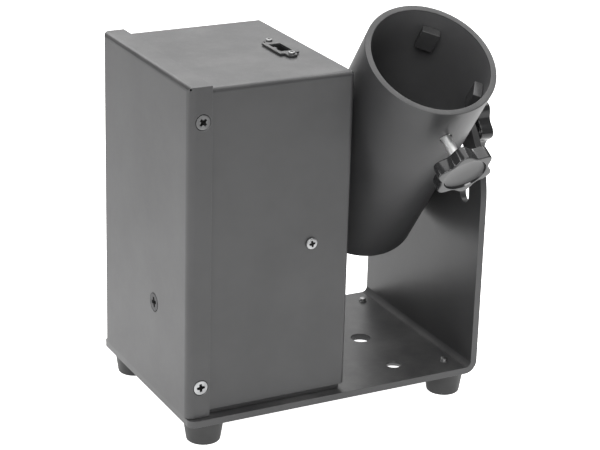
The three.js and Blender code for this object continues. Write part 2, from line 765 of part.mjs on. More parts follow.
function dataOutput() {
  const [, x] = LEFT.dataSockets.x;
  const { z, grooveOuter, grooveInner, grooveDepth, contactCircle, contactHole } = LEFT.dataSockets;
  const from = LEFT_FACE - grooveDepth;
  const groove = ring(grooveOuter, grooveInner, from, LEFT_FACE + 5, 'y', [x, 0, z]);
  const holes = contactPlaces(x, z, contactCircle).map((at) => rod(
    contactHole, from, LEFT_FACE + 5, 'y', at, 10));
  return cutAll(dataSocketBody(x), [groove, ...holes]);
}

function mainsInlet() {
  const { x, z, halfX, halfZ, corner, plate, bodyX, bodyZ, back } = LEFT.inlet;
  const { mouthX, mouthZ, depth, pinSpacing, pinHalf } = LEFT.inlet;
  const outline = rounded(x - halfX, z - halfZ, x + halfX, z + halfZ, Array(4).fill(corner));
  const flange = alongY(outline, LEFT_FACE + GAP, LEFT_FACE + GAP + plate);
  const body = blockRound(x, z, bodyX, bodyZ, back, LEFT_FACE + 1);
  const mouth = rounded(x - mouthX, z - mouthZ, x + mouthX, z + mouthZ, [0, 0, corner, corner]);
  const recess = alongY(mouth, LEFT_FACE - depth, LEFT_FACE + 5);
  const pins = [-pinSpacing, 0, pinSpacing].map((dx) => block(
    x + dx - pinHalf, x + dx + pinHalf, LEFT_FACE - depth - 1, LEFT_FACE - 3,
    z - (dx ? 2.7 : 2), z + 2));
  return joinAll([flange.add(body).subtract(recess), ...pins]);
}

function fuseHolder() {
  const { x, z, radius, capRadius, cap, back, slotHalf, slotWidth } = LEFT.fuse;
  const end = LEFT_FACE + cap;
  const profile = [
    [0, back], [radius, back], [radius, LEFT_FACE + GAP], [capRadius, LEFT_FACE + GAP],
    [capRadius, end - 1], [capRadius - 0.8, end], [0, end]];
  const slot = blockRound(x, z, slotHalf, slotWidth / 2, end - 1.2, end + 1);
  return turned(profile, 'y', [x, 0, z]).subtract(slot);
}

// The socket that the cartridge's firing lead is plugged into.
function triggerSocket() {
  const { x, z, radius, rim, proud, back, recess, depth, pinSpacing, pin } = LEFT.trigger;
  const end = LEFT_FACE + proud;
  const profile = [
    [0, back], [radius, back], [radius, LEFT_FACE + GAP], [rim, LEFT_FACE + GAP],
    [rim, end - 0.8], [rim - 0.9, end], [0, end]];
  const well = rod(recess, LEFT_FACE - depth, LEFT_FACE + 5, 'y', [x, 0, z]);
  const pins = [-pinSpacing / 2, pinSpacing / 2].map((dx) => rod(
    pin, LEFT_FACE - depth - 1, LEFT_FACE - 1, 'y', [x + dx, 0, z], 10));
  return joinAll([turned(profile, 'y', [x, 0, z]).subtract(well), ...pins]);
}

// Barrel and what is fixed to it, in the barrel's own frame

const UPRIGHT_OUTER = BRACKET.end - PIVOT.x;
const UPRIGHT_INNER = UPRIGHT_OUTER - BRACKET.thickness;
const CLAMP_TURN = THREE.MathUtils.degToRad(CLAMP.swing);

function barrelTube() {
  const { outer, inner, above, below } = BARREL;
  const edge = 0.5;
  const profile = [
    [inner, -below], [outer, -below], [outer, above - edge], [outer - edge, above],
    [inner + edge, above], [inner, above - edge], [inner, -below]];
  const tube = turned(profile, 'z', [0, 0, 0], 56);
  const pivotHole = rod(M8.hole, inner - 6, outer + 2, 'x');
  const studHole = rod(M8.hole, inner - 6, outer + 2, 'x', [0, 0, SLOT.radius]);
  const clampHole = towardsClamp(rod(M6.hole, inner - 6, outer + 2, 'z'));
  return cutAll(tube, [pivotHole, studHole, clampHole]);
}

// Places a piece made along Z, from the barrel's axis outwards, at the clamp screw.
function towardsClamp(piece) {
  return piece.rotate([90, 0, 0]).rotate([0, 0, CLAMP.swing]).translate([0, 0, CLAMP.height]);
}

function barrelBase() {
  const { inner, below } = BARREL;
  const { thickness, cableHole } = BARREL_BASE;
  const from = GAP - below;
  return ring(inner - GAP, cableHole, from, from + thickness, 'z', [0, 0, 0], 32);
}

function guidePad(angle) {
  const { width, height, from, to } = GUIDE_PAD;
  const outer = BARREL.inner - GAP;
  const bar = block(-width / 2, width / 2, -outer - 2, -outer + height, from, to);
  const curved = bar.intersect(rod(outer, from, to, 'z', [0, 0, 0], 96));
  return curved.rotate([0, 0, angle]);
}

function pivotBolt() {
  const { head, seat, headRadius, past } = PIVOT_BOLT;
  const { radius } = M8;
  const end = UPRIGHT_OUTER + past;
  const profile = [
    [0, head], [radius, head + 0.4], [headRadius, seat - 1], [headRadius, seat], [radius, seat],
    [radius, end], [0, end]];
  return turned(profile, 'x');
}

function pivotSpacer() {
  return ring(PIVOT_BOLT.headRadius, M8.hole, BARREL.outer + GAP, UPRIGHT_INNER - GAP, 'x');
}

function pivotNut() {
  const seat = UPRIGHT_OUTER + GAP;
  const collar = ring(9, M8.radius + GAP, seat, seat + 1.6, 'x');
  return collar.add(m8Nut().translate([seat + 1.4, 0, 0]));
}

function m8Nut() {
  return hexNut(M8.nutFlats, M8.radius + GAP, M8.nutHeight).rotate([0, 90, 0]);
}

// The lowest part of a sphere round the origin, as far up as `depth`.
function dome(radius, depth) {
  const rings = 4;
  const widest = Math.acos(1 - depth / radius);
  const profile = [[0, -radius]];
  for (let i = 1; i <= rings; i += 1) {
    const turn = (widest * i) / rings;
    profile.push([radius * Math.sin(turn), -radius * Math.cos(turn)]);
  }
  profile.push([0, depth - radius]);
  return turned(profile, 'z', [0, 0, 0], 24);
}

// A star knob along +Z: hub first, then the lobed head with a dish in its face.
function starKnob(rodRadius) {
  const { thickness, edge, dishRadius, dishWall, dishDepth, hubRadius, hubLength, socket } = STAR;
  const head = new THREE.ExtrudeGeometry(starOutline(), {
    depth: thickness - 2 * edge,
    bevelThickness: edge,
    bevelSize: edge,
    bevelOffset: -edge,
    bevelSegments: 1,
  });
  head.translate(0, 0, hubLength + edge);
  const face = hubLength + thickness;
  const floor = face - dishWall;
  const sphere = (dishRadius ** 2 + dishDepth ** 2) / (2 * dishDepth);
  const bowl = dome(sphere, dishDepth).translate([0, 0, floor + sphere - dishDepth]);
  const wall = rod(dishRadius, floor, face + 1, 'z', [0, 0, 0], 24);
  const hub = rod(hubRadius, 0, hubLength + 1, 'z');
  const bore = rod(rodRadius + GAP, -1, hubLength + socket, 'z', [0, 0, 0], 16);
  return cutAll(solid(head), [wall, bowl]).add(hub).subtract(bore);
}

function starOutline() {
  const { tip, valley, lobes, lobeSharpness } = STAR;
  const steps = lobes * 8;
  const points = Array.from({ length: steps }, (_, step) => {
    const turn = (step / steps) * 2 * Math.PI;
    const swell = ((1 + Math.cos(lobes * turn)) / 2) ** lobeSharpness;
    const radius = valley + (tip - valley) * swell;
    return [radius * Math.cos(turn), radius * Math.sin(turn)];
  });
  return polygon(points);
}

const KNOB_LENGTH = STAR.hubLength + STAR.thickness;
const TILT_KNOB_SEAT = UPRIGHT_OUTER + WASHER.thickness + 2 * GAP;
const CLAMP_KNOB_SEAT = CLAMP.face - KNOB_LENGTH;

// A rod from its start to inside the knob that sits at `seat`.
function knobRod(radius, start, seat, axis, at) {
  const end = seat + STAR.hubLength + STAR.socket - GAP;
  const tip = radius * 0.8;
  const profile = [
    [0, start], [tip, start], [radius, start + radius - tip], [radius, end], [0, end]];
  return turned(profile, axis, at);
}

function clampPad() {
  const { padStart, padRadius, rodStart } = CLAMP;
  const back = rodStart - GAP;
  const edge = 0.8;
  const profile = [
    [0, padStart], [padRadius - edge, padStart], [padRadius, padStart + edge],
    [padRadius, back - 1.7], [padRadius - 4, back], [0, back]];
  return turned(profile, 'z');
}

// Assembly

const object = new THREE.Group();
const barrelGroup = new THREE.Group();
barrelGroup.position.set(PIVOT.x, PIVOT.y, PIVOT.z);
barrelGroup.rotation.x = THREE.MathUtils.degToRad(BARREL.tilt);

function add(name, piece, finish, group = object) {
  const mesh = new THREE.Mesh(geometryOf(piece), new THREE.MeshStandardMaterial(finish));
  mesh.name = name;
  group.add(mesh);
  return mesh;
}

add('base_bracket', bracket(), POWDER_BLACK);

const CORNERS = ['front_right', 'front_left', 'rear_right', 'rear_left'];
footPlaces().forEach(([x, y], index) => {
  const z = -BRACKET.thickness;
  add(`foot_${CORNERS[index]}`, foot(), RUBBER).position.set(x, y, z);
  add(`foot_screw_${CORNERS[index]}`, footScrew(), ZINC).position.set(x, y, z);
});

add('front_panel', frontPanel(), POWDER_BLACK);
add('cover', cover(), POWDER_BLACK);
add('chassis', chassis(), POWDER_BLACK);

FLANGE_SCREW.z.forEach((z, index) => {
  const level = ['lower', 'upper'][index];
  const turn = [0, 45][index];
  const screw = countersunkScrew(FLANGE_SCREW.headRadius, FLANGE_SCREW.radius, 8.5, 0.7, turn);
  const right = add(`panel_screw_right_${level}`, screw, ZINC);
  right.position.set(FLANGE_SCREW.x, 0.1, z);
  right.rotation.x = Math.PI / 2;
  const left = add(`panel_screw_left_${level}`, screw, ZINC);
  left.position.set(FLANGE_SCREW.x, BOX.width - 0.1, z);
  left.rotation.x = -Math.PI / 2;
});

const sideScrew = add(
  'side_screw', panScrew(SIDE_SCREW.headRadius, 1.6, SIDE_SCREW.radius, 8, 10), ZINC);
sideScrew.position.set(SIDE_SCREW.x, COVER.inset - GAP, SIDE_SCREW.z);
sideScrew.rotation.x = Math.PI / 2;

BRACKET.baseScrewX.forEach((x, index) => {
  const piece = countersunkScrew(FLANGE_SCREW.headRadius, FLANGE_SCREW.radius, 9);
  const screw = add(`base_screw_${['front', 'rear'][index]}`, piece, ZINC);
  screw.position.set(x, BOX.width / 2, 0.1 - BRACKET.thickness);
  screw.rotation.x = Math.PI;
});

const transformer = transformerParts();
add('transformer', transformer.coil, TAPE_YELLOW);
add('transformer_pad', transformer.pad, RUBBER);
add('transformer_dish', transformer.dish, RAW_STEEL);
add('transformer_nut', transformer.nut, ZINC);
add('transformer_bolt', transformer.bolt, BLACK_STEEL);

add('board_bracket', boardBracket(), RAW_STEEL);
add('main_board', mainBoard(), BOARD_GREEN);
add('relay', relay(), RELAY_BLUE);
add('capacitor', capacitor(), MATT_BLACK);

add('port_plate', portPlate(), POWDER_BLACK);
add('port_socket', portSocket(), MATT_BLACK);
portScrewPlaces().forEach(([x, y], index) => {
  const screw = add(`port_screw_${['right', 'left'][index]}`, panScrew(2.5, 1.8, 1.2, 6), ZINC);
  screw.position.set(x, y, coverTop() + GAP * 2 + PORT.plate);
});

add('display_window', displayWindow(), WINDOW_RED);
add('display_board', displayBoard(), BOARD_GREEN);
LEFT.buttons.x.forEach((x, index) => add(`button_${index + 1}`, button(x), MATT_BLACK));
add('data_input', dataInput(), MATT_BLACK);
add('data_output', dataOutput(), MATT_BLACK);
add('mains_inlet', mainsInlet(), MATT_BLACK);
add('fuse_holder', fuseHolder(), MATT_BLACK);
add('trigger_socket', triggerSocket(), MATT_BLACK);

object.add(barrelGroup);
add('barrel_tube', barrelTube(), POWDER_BLACK, barrelGroup);
add('barrel_base', barrelBase(), POWDER_BLACK, barrelGroup);
GUIDE_PAD.angles.forEach((angle, index) => {
  add(`guide_pad_${index + 1}`, guidePad(angle), POWDER_BLACK, barrelGroup);
});
add('pivot_bolt', pivotBolt(), ZINC, barrelGroup);
add('pivot_spacer', pivotSpacer(), ZINC, barrelGroup);
add('pivot_nut', pivotNut(), ZINC, barrelGroup);

const atSlot = [0, 0, SLOT.radius];
add('tilt_nut', m8Nut().translate([TILT.nut, 0, SLOT.radius]), ZINC, barrelGroup);
const washerSeat = UPRIGHT_OUTER + GAP;
const washer = ring(
  WASHER.radius, M8.radius + GAP, washerSeat, washerSeat + WASHER.thickness, 'x', atSlot);
add('tilt_washer', washer, ZINC, barrelGroup);
const tiltStud = knobRod(M8.radius, TILT.rodStart, TILT_KNOB_SEAT, 'x', atSlot);
add('tilt_stud', tiltStud, ZINC, barrelGroup);
const tiltKnob = add('tilt_knob', starKnob(M8.radius), GLOSS_BLACK, barrelGroup);
tiltKnob.position.set(TILT_KNOB_SEAT, 0, SLOT.radius);
tiltKnob.rotation.set(0, Math.PI / 2, THREE.MathUtils.degToRad(KNOB_TURN.tilt));

// The clamp screw runs in a thread in the barrel's wall. In its own group +Z points outwards.
const clampGroup = new THREE.Group();
clampGroup.position.set(0, 0, CLAMP.height);
clampGroup.rotation.set(Math.PI / 2, 0, CLAMP_TURN, 'ZYX');
barrelGroup.add(clampGroup);
add('clamp_pad', clampPad(), RUBBER, clampGroup);
const clampStud = knobRod(M6.radius, CLAMP.rodStart, CLAMP_KNOB_SEAT, 'z', [0, 0, 0]);
add('clamp_stud', clampStud, ZINC, clampGroup);
const clampKnob = add('clamp_knob', starKnob(M6.radius), GLOSS_BLACK, clampGroup);
clampKnob.position.set(0, 0, CLAMP_KNOB_SEAT);
clampKnob.rotation.z = THREE.MathUtils.degToRad(KNOB_TURN.clamp);

object.position.set(-MIDDLE.x, -MIDDLE.y, FOOT.height + BRACKET.thickness);

export default object;
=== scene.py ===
"""The looks of the confetti launcher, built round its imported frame.

Pieces are drawn in millimetres, in the frame in which the part itself is drawn: x from the front
panel's face towards the upright, y from the right flange towards the left side, z from the top of
the base plate. ROW carries them into the row frame, in metres. The barrel's pieces are drawn with
z along the barrel, and the star knobs' pieces with z along the stud.
"""

from math import asin, cos, degrees, hypot, pi, radians, sin, sqrt

import bmesh
import bpy
from mathutils import Matrix, Vector


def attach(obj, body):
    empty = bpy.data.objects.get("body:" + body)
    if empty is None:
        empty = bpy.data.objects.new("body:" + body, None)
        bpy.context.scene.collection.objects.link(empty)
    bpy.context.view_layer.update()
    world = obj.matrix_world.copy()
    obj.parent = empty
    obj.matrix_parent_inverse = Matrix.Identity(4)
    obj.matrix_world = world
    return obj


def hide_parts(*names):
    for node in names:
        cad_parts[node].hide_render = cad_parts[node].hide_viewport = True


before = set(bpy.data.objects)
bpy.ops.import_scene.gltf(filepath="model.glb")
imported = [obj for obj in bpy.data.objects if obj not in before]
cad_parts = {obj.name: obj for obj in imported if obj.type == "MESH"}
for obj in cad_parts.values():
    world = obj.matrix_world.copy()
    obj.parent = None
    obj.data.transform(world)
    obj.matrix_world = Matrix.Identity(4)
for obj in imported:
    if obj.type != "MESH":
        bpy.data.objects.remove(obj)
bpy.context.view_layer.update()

# Frames

MM = 0.001


def moved(x, y, z):
    return Matrix.Translation((x, y, z))


def turned(angle, axis):
    return Matrix.Rotation(radians(angle), 4, axis)


ROW = Matrix.Scale(MM, 4) @ moved(-99.75, -34.5, 18.1)
PIVOT = Vector((141, 60, 101.5))
BARREL = moved(*PIVOT) @ turned(36.1, "X")
CLAMP_HEIGHT = 91.1
CLAMP_SWING = 1.4
CLAMP = BARREL @ moved(0, 0, CLAMP_HEIGHT) @ turned(CLAMP_SWING, "Z") @ turned(90, "X")
QUARTER_Y = turned(90, "Y")
TO_RIGHT, TO_LEFT = turned(90, "X"), turned(-90, "X")
IDENTITY = Matrix.Identity(4)

# Sizes shared with the part's solids, in millimetres

GAP = 0.3
BOX_LENGTH, BOX_WIDTH, BOX_TOP, SHEET = 99.0, 120.0, 190.5, 1.5
COVER_INSET = SHEET + GAP
COVER_TOP = BOX_TOP - COVER_INSET
LEFT_FACE = BOX_WIDTH - COVER_INSET
LEFT_INNER = LEFT_FACE - SHEET
PLATE = 4.0
SLOT_RADIUS = 45.4
BOLT_HOLE = 4.3
TUBE_OUTER, TUBE_INNER, TUBE_ABOVE, TUBE_BELOW = 38.05, 34.45, 113.0, 24.0
UPRIGHT_OUTER = 185.0 - PIVOT.x
KNOB_LENGTH = 11.4
TILT_WASHER = 2.5
TILT_KNOB_SEAT = UPRIGHT_OUTER + TILT_WASHER + 2 * GAP
CLAMP_KNOB_SEAT = 63.0 - KNOB_LENGTH


# Mesh building


def mesh_object(verts, faces):
    """A closed mesh with its faces turned outwards, in a new object."""
    mesh = bpy.data.meshes.new("draft")
    mesh.from_pydata([tuple(v) for v in verts], [], faces)
    shape = bmesh.new()
    shape.from_mesh(mesh)
    bmesh.ops.remove_doubles(shape, verts=shape.verts, dist=1e-4)
    bmesh.ops.recalc_face_normals(shape, faces=shape.faces)
    shape.to_mesh(mesh)
    shape.free()
    draft = bpy.data.objects.new("draft", mesh)
    bpy.context.scene.collection.objects.link(draft)
    return draft


def along(axis, u, v, w):
    """A point whose w runs along the named axis."""
    return {"x": (w, u, v), "y": (u, w, v), "z": (u, v, w)}[axis]


def prism(outline, low, high, axis="z"):
    """An outline carried along an axis: in y and z, in x and z, or in x and y."""
    count = len(outline)
    verts = [along(axis, u, v, low) for u, v in outline]
    verts += [along(axis, u, v, high) for u, v in outline]
    faces = [tuple(range(count)), tuple(range(count, 2 * count))]
    for i in range(count):
        j = (i + 1) % count
        faces.append((i, j, count + j, count + i))
    return mesh_object(verts, faces)


def loft(rings):
    """Rings with the same number of points joined in order. A ring of one point closes an end."""
    verts, starts = [], []
    for ring in rings:
        starts.append((len(verts), len(ring)))
        verts.extend(ring)
    count = max(len(ring) for ring in rings)
    faces = []
    for (a, na), (b, nb) in zip(starts, starts[1:]):
        for i in range(count):
            j = (i + 1) % count
            if na == 1:
                faces.append((a, b + j, b + i))
            elif nb == 1:
                faces.append((a + i, a + j, b))
            else:
                faces.append((a + i, a + j, b + j, b + i))
    return mesh_object(verts, faces)


def lathe(profile, axis="z", at=(0, 0, 0), sides=64):
    """A turned piece. The profile's points are (radius, distance along the axis)."""
    rings = []
    for radius, height in profile:
        if radius < 1e-6:
            rings.append([Vector(along(axis, 0, 0, height)) + Vector(at)])
            continue
        ring = []
        for i in range(sides):
            turn = 2 * pi * i / sides
            point = along(axis, radius * cos(turn), radius * sin(turn), height)
            ring.append(Vector(point) + Vector(at))
        rings.append(ring)
    return loft(rings)


def rod(radius, low, high, axis="z", at=(0, 0, 0), sides=48):
    return lathe([(0, low), (radius, low), (radius, high), (0, high)], axis, at, sides)


def block(x0, x1, y0, y1, z0, z1):
    return prism([(x0, y0), (x1, y0), (x1, y1), (x0, y1)], z0, z1)


def arc(centre, radius, start, end, steps):
    """Points on an arc, angles in degrees."""
    points = []
    for i in range(steps + 1):
        turn = radians(start + (end - start) * i / steps)
        points.append((centre[0] + radius * cos(turn), centre[1] + radius * sin(turn)))
    return points


def rounded(x0, y0, x1, y1, radii, steps=10):
    """A rectangle's outline, each corner rounded in its own radius, from the lower left one."""
    corners = [(x0, y0, 1, 1), (x1, y0, -1, 1), (x1, y1, -1, -1), (x0, y1, 1, -1)]
    points = []
    for index, ((x, y, sx, sy), radius) in enumerate(zip(corners, radii)):
        if radius:
            centre = (x + sx * radius, y + sy * radius)
            start = 180 + 90 * index
            points += arc(centre, radius, start, start + 90, steps)
        else:
            points.append((x, y))
    return points


def around(centre, half_x, half_z, radius, steps=10):
    """A rounded rectangle's outline round its centre."""
    x, z = centre
    return rounded(x - half_x, z - half_z, x + half_x, z + half_z, (radius,) * 4, steps)


def combine(base, tools, operation="DIFFERENCE"):
    """Cuts tools from a base, or keeps what they share or adds them, and removes them."""
    for tool in tools:
        change = base.modifiers.new("combine", "BOOLEAN")
        change.operation = operation
        change.solver = "EXACT"
        change.object = tool
        apply_modifiers(base)
        bpy.data.objects.remove(tool)
    return base


def apply_modifiers(piece):
    graph = bpy.context.evaluated_depsgraph_get()
    made = bpy.data.meshes.new_from_object(piece.evaluated_get(graph))
    piece.modifiers.clear()
    old = piece.data
    piece.data = made
    bpy.data.meshes.remove(old)


def eased(piece, width, segments=2, angle=35):
    """Rounds a piece's real edges over, as coating, moulding or tumbling leaves them."""
    bevel = piece.modifiers.new("eased", "BEVEL")
    bevel.width = width
    bevel.segments = segments
    bevel.limit_method = "ANGLE"
    bevel.angle_limit = radians(angle)
    bevel.use_clamp_overlap = True
    apply_modifiers(piece)
    return piece


def joined(*pieces):
    """Several drafts as one mesh."""
    shape = bmesh.new()
    for piece in pieces:
        shape.from_mesh(piece.data)
    mesh = bpy.data.meshes.new("draft")
    shape.to_mesh(mesh)
    shape.free()
    for piece in pieces[1:]:
        bpy.data.objects.remove(piece)
    pieces[0].data = mesh
    return pieces[0]


def place(piece, matrix):
    piece.data.transform(matrix)
    return piece


SHARP_FROM = 32  # degrees between two faces from which their edge stays sharp


def finish(piece, name, material, nodes=(), matrix=IDENTITY, body="frame"):
    """Names and shades a draft, carries it into the row frame and lets it ride on its body."""
    piece.name = name
    piece.data.transform(ROW @ matrix)
    piece.data.shade_smooth()
    piece.data.set_sharp_from_angle(angle=radians(SHARP_FROM))
    flat = piece.modifiers.new("flat", "WEIGHTED_NORMAL")
    flat.keep_sharp = True
    apply_modifiers(piece)
    piece.data.name = name
    # Faces marked in a screw's recess get a second, near-black material: painted shade in the
    # recess
    recesses = [polygon.index for polygon in piece.data.polygons if polygon.material_index]
    piece.data.materials.clear()
    piece.data.materials.append(material)
    if recesses:
        piece.data.materials.append(painted_shade_recess)
    for index in recesses:
        piece.data.polygons[index].material_index = 1
    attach(piece, body)
    if nodes:
        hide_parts(*nodes)
    return piece


# Shader groups


def new_group(name, inputs, outputs):
    group = bpy.data.node_groups.new(name, "ShaderNodeTree")
    for label, value in inputs.items():
        group.interface.new_socket(
            label, in_out="INPUT", socket_type="NodeSocketFloat"
        ).default_value = value
    for label in outputs:
        group.interface.new_socket(label, in_out="OUTPUT", socket_type="NodeSocketFloat")
    return group, Wiring(group)


class Wiring:
    """Adds and joins the nodes of one tree."""

    def __init__(self, tree):
        self.tree = tree

    def node(self, kind, values=None, **settings):
        made = self.tree.nodes.new(kind if kind.startswith("Node") else "ShaderNode" + kind)
        for key, value in settings.items():
            setattr(made, key, value)
        for key, value in (values or {}).items():
            if isinstance(value, bpy.types.NodeSocket):
                self.tree.links.new(value, made.inputs[key])
            else:
                made.inputs[key].default_value = value
        return made

    def link(self, source, target):
        self.tree.links.new(source, target)

    def math(self, operation, first, second=0.0, clamp=False):
        made = self.node("Math", {0: first, 1: second}, operation=operation, use_clamp=clamp)
        return made.outputs[0]

    def ramp(self, value, low, high, to_low=0.0, to_high=1.0):
        made = self.node(
            "MapRange",
            {"Value": value, "From Min": low, "From Max": high,
             "To Min": to_low, "To Max": to_high},
            interpolation_type="SMOOTHSTEP",
        )
        return made.outputs["Result"]

    def noise(self, vector, scale, detail=3.0, roughness=0.55):
        made = self.node(
            "TexNoise",
            {"Vector": vector, "Scale": scale, "Detail": detail, "Roughness": roughness},
        )
        return made.outputs["Fac"]

    def place(self):
        return self.node("TexCoord").outputs["Object"]


def edge_wear_group():
    """Mask: where edges stick out, broken up by grain."""
    group, w = new_group("Edge Wear", {"Radius": 0.0006, "Amount": 0.5, "Grain": 900.0}, ["Mask"])
    given = w.node("NodeGroupInput").outputs
    bevel = w.node("Bevel", {"Radius": given["Radius"]}, samples=6)
    flat = w.node("NewGeometry").outputs["Normal"]
    dot = w.node("VectorMath", {0: bevel.outputs["Normal"], 1: flat}, operation="DOT_PRODUCT")
    turned_away = w.ramp(dot.outputs["Value"], 0.999, 0.9)
    grain = w.noise(w.place(), given["Grain"], 4.0)
    broken = w.math("MULTIPLY", turned_away, w.ramp(grain, 0.38, 0.62, 0.25, 1.0))
    mask = w.math("MULTIPLY", broken, given["Amount"], clamp=True)
    out = w.node("NodeGroupOutput")
    w.link(mask, out.inputs["Mask"])
    return group


def coat_texture_group():
    """Height: the fine pebbled skin of a baked powder coat. Tone: its faint unevenness."""
    group, w = new_group("Coat Texture", {"Scale": 1500.0, "Waves": 260.0}, ["Height", "Tone"])
    given = w.node("NodeGroupInput").outputs
    spot = w.place()
    pebbles = w.node("TexVoronoi", {"Vector": spot, "Scale": given["Scale"]}, feature="SMOOTH_F1")
    pebble_height = w.math("SUBTRACT", 1.0, pebbles.outputs["Distance"])
    fine = w.noise(spot, w.math("MULTIPLY", given["Scale"], 1.7), 2.0)
    waves = w.noise(spot, given["Waves"], 2.0)
    height = w.math("ADD", w.math("MULTIPLY", pebble_height, 0.6), w.math("MULTIPLY", fine, 0.4))
    height = w.math("ADD", height, w.math("MULTIPLY", waves, 0.8))
    tone = w.noise(spot, 22.0, 5.0, 0.6)
    out = w.node("NodeGroupOutput")
    w.link(height, out.inputs["Height"])
    w.link(tone, out.inputs["Tone"])
    return group


def dust_group():
    """Mask: faint dust that settles on faces turned upwards, in soft patches."""
    group, w = new_group("Settled Dust", {"Amount": 0.2, "Patch": 45.0}, ["Mask"])
    given = w.node("NodeGroupInput").outputs
    normal = w.node("NewGeometry").outputs["Normal"]
    up = w.node("SeparateXYZ", {"Vector": normal}).outputs["Z"]
    facing = w.ramp(up, 0.2, 0.95)
    patches = w.ramp(w.noise(w.place(), given["Patch"], 6.0, 0.65), 0.35, 0.75)
    specks = w.ramp(w.noise(w.place(), 1400.0, 2.0), 0.6, 0.75)
    both = w.math("MULTIPLY", facing, w.math("ADD", w.math("MULTIPLY", patches, 0.7), specks))
    out = w.node("NodeGroupOutput")
    w.link(w.math("MULTIPLY", both, given["Amount"], clamp=True), out.inputs["Mask"])
    return group


def handling_group():
    """Value: a roughness that fingers, cloths and time have made uneven."""
    group, w = new_group(
        "Handling Marks", {"Roughness": 0.4, "Spread": 0.08, "Scale": 30.0}, ["Value"]
    )
    given = w.node("NodeGroupInput").outputs
    smears = w.noise(w.place(), given["Scale"], 5.0, 0.6)
    streaks = w.noise(w.place(), w.math("MULTIPLY", given["Scale"], 9.0), 3.0)
    mixed = w.math("ADD", w.math("MULTIPLY", smears, 1.4), w.math("MULTIPLY", streaks, 0.6))
    offset = w.math("MULTIPLY", w.math("SUBTRACT", mixed, 1.0), given["Spread"])
    out = w.node("NodeGroupOutput")
    w.link(w.math("ADD", given["Roughness"], offset, clamp=True), out.inputs["Value"])
    return group


EDGE_WEAR = edge_wear_group()
COAT_TEXTURE = coat_texture_group()
SETTLED_DUST = dust_group()
HANDLING = handling_group()


# Materials


def new_material(name):
    material = bpy.data.materials.new(name)
    material.use_nodes = True
    material.node_tree.nodes.clear()
    w = Wiring(material.node_tree)
    shader = w.node("BsdfPrincipled")
    out = w.node("OutputMaterial")
    w.link(shader.outputs["BSDF"], out.inputs["Surface"])
    return material, w, shader


def use_group(w, group, **values):
    made = w.node("Group")
    made.node_tree = group
    for label, value in values.items():
        made.inputs[label].default_value = value
    return made.outputs


def mix_colour(w, factor, first, second):
    made = w.node("Mix", data_type="RGBA")
    w.link(factor, made.inputs["Factor"])
    for socket, value in zip((made.inputs[6], made.inputs[7]), (first, second)):
        if isinstance(value, bpy.types.NodeSocket):
            w.link(value, socket)
        else:
            socket.default_value = (*value, 1.0)
    return made.outputs[2]


def add_handling(w, shader, **values):
    w.link(use_group(w, HANDLING, **values)["Value"], shader.inputs["Roughness"])


def add_bump(w, shader, height, strength, distance):
    bump = w.node("Bump", {"Height": height, "Strength": strength, "Distance": distance})
    w.link(bump.outputs["Normal"], shader.inputs["Normal"])


DUST = (0.3, 0.295, 0.285)


def powder_coat(name, dark, light, roughness, worn, bump=0.22, dust=0.16):
    """A baked powder coat: pebbled, a little uneven, thinner and brighter on its edges."""
    material, w, shader = new_material(name)
    skin = use_group(w, COAT_TEXTURE)
    tone = w.ramp(skin["Tone"], 0.3, 0.7)
    colour = mix_colour(w, tone, dark, light)
    wear = use_group(w, EDGE_WEAR, Amount=worn)["Mask"]
    colour = mix_colour(w, wear, colour, (0.16, 0.16, 0.162))
    dusted = use_group(w, SETTLED_DUST, Amount=dust)["Mask"]
    colour = mix_colour(w, dusted, colour, DUST)
    w.link(colour, shader.inputs["Base Color"])
    add_handling(w, shader, Roughness=roughness, Spread=0.07)
    shader.inputs["Specular IOR Level"].default_value = 0.62
    add_bump(w, shader, skin["Height"], bump, 0.00006)
    return material


def plated_steel(name, colour, roughness, streak=(1, 1, 1), scratches=0.12, bump=0.18):
    """Plated or bare metal with faint turning or rolling marks."""
    material, w, shader = new_material(name)
    stretched = w.node("Mapping", {"Vector": w.place()})
    stretched.inputs["Scale"].default_value = streak
    marks = w.noise(stretched.outputs["Vector"], 1600.0, 3.0)
    cloud = w.noise(w.place(), 140.0, 4.0)
    darker = tuple(c * (1 - scratches * 2.3) for c in colour)
    w.link(mix_colour(w, w.ramp(cloud, 0.35, 0.7), darker, colour), shader.inputs["Base Color"])
    shader.inputs["Metallic"].default_value = 1.0
    base = use_group(w, HANDLING, Roughness=roughness, Spread=scratches * 0.8, Scale=220.0)["Value"]
    rough = w.math("ADD", base, w.math("MULTIPLY", marks, scratches), clamp=True)
    w.link(rough, shader.inputs["Roughness"])
    add_bump(w, shader, marks, bump, 0.00003)
    return material


def moulded(name, dark, light, roughness, grain, strength, gloss=0.5, coat=0.0, dust=0.1):
    """Moulded plastic or rubber: a fine grain, dust, and dulled edges."""
    material, w, shader = new_material(name)
    spot = w.place()
    cloud = w.ramp(w.noise(spot, 60.0, 4.0), 0.3, 0.7)
    colour = mix_colour(w, cloud, dark, light)
    wear = use_group(w, EDGE_WEAR, Radius=0.0004, Amount=0.22, Grain=1300.0)["Mask"]
    colour = mix_colour(w, wear, colour, tuple(min(1.0, c * 2.2 + 0.02) for c in light))
    dusted = use_group(w, SETTLED_DUST, Amount=dust, Patch=90.0)["Mask"]
    colour = mix_colour(w, dusted, colour, DUST)
    w.link(colour, shader.inputs["Base Color"])
    add_handling(w, shader, Roughness=roughness, Spread=0.09, Scale=70.0)
    shader.inputs["Specular IOR Level"].default_value = gloss
    shader.inputs["Coat Weight"].default_value = coat
    shader.inputs["Coat Roughness"].default_value = 0.06
    add_bump(w, shader, w.noise(spot, grain, 3.0), strength, 0.00005)
    return material


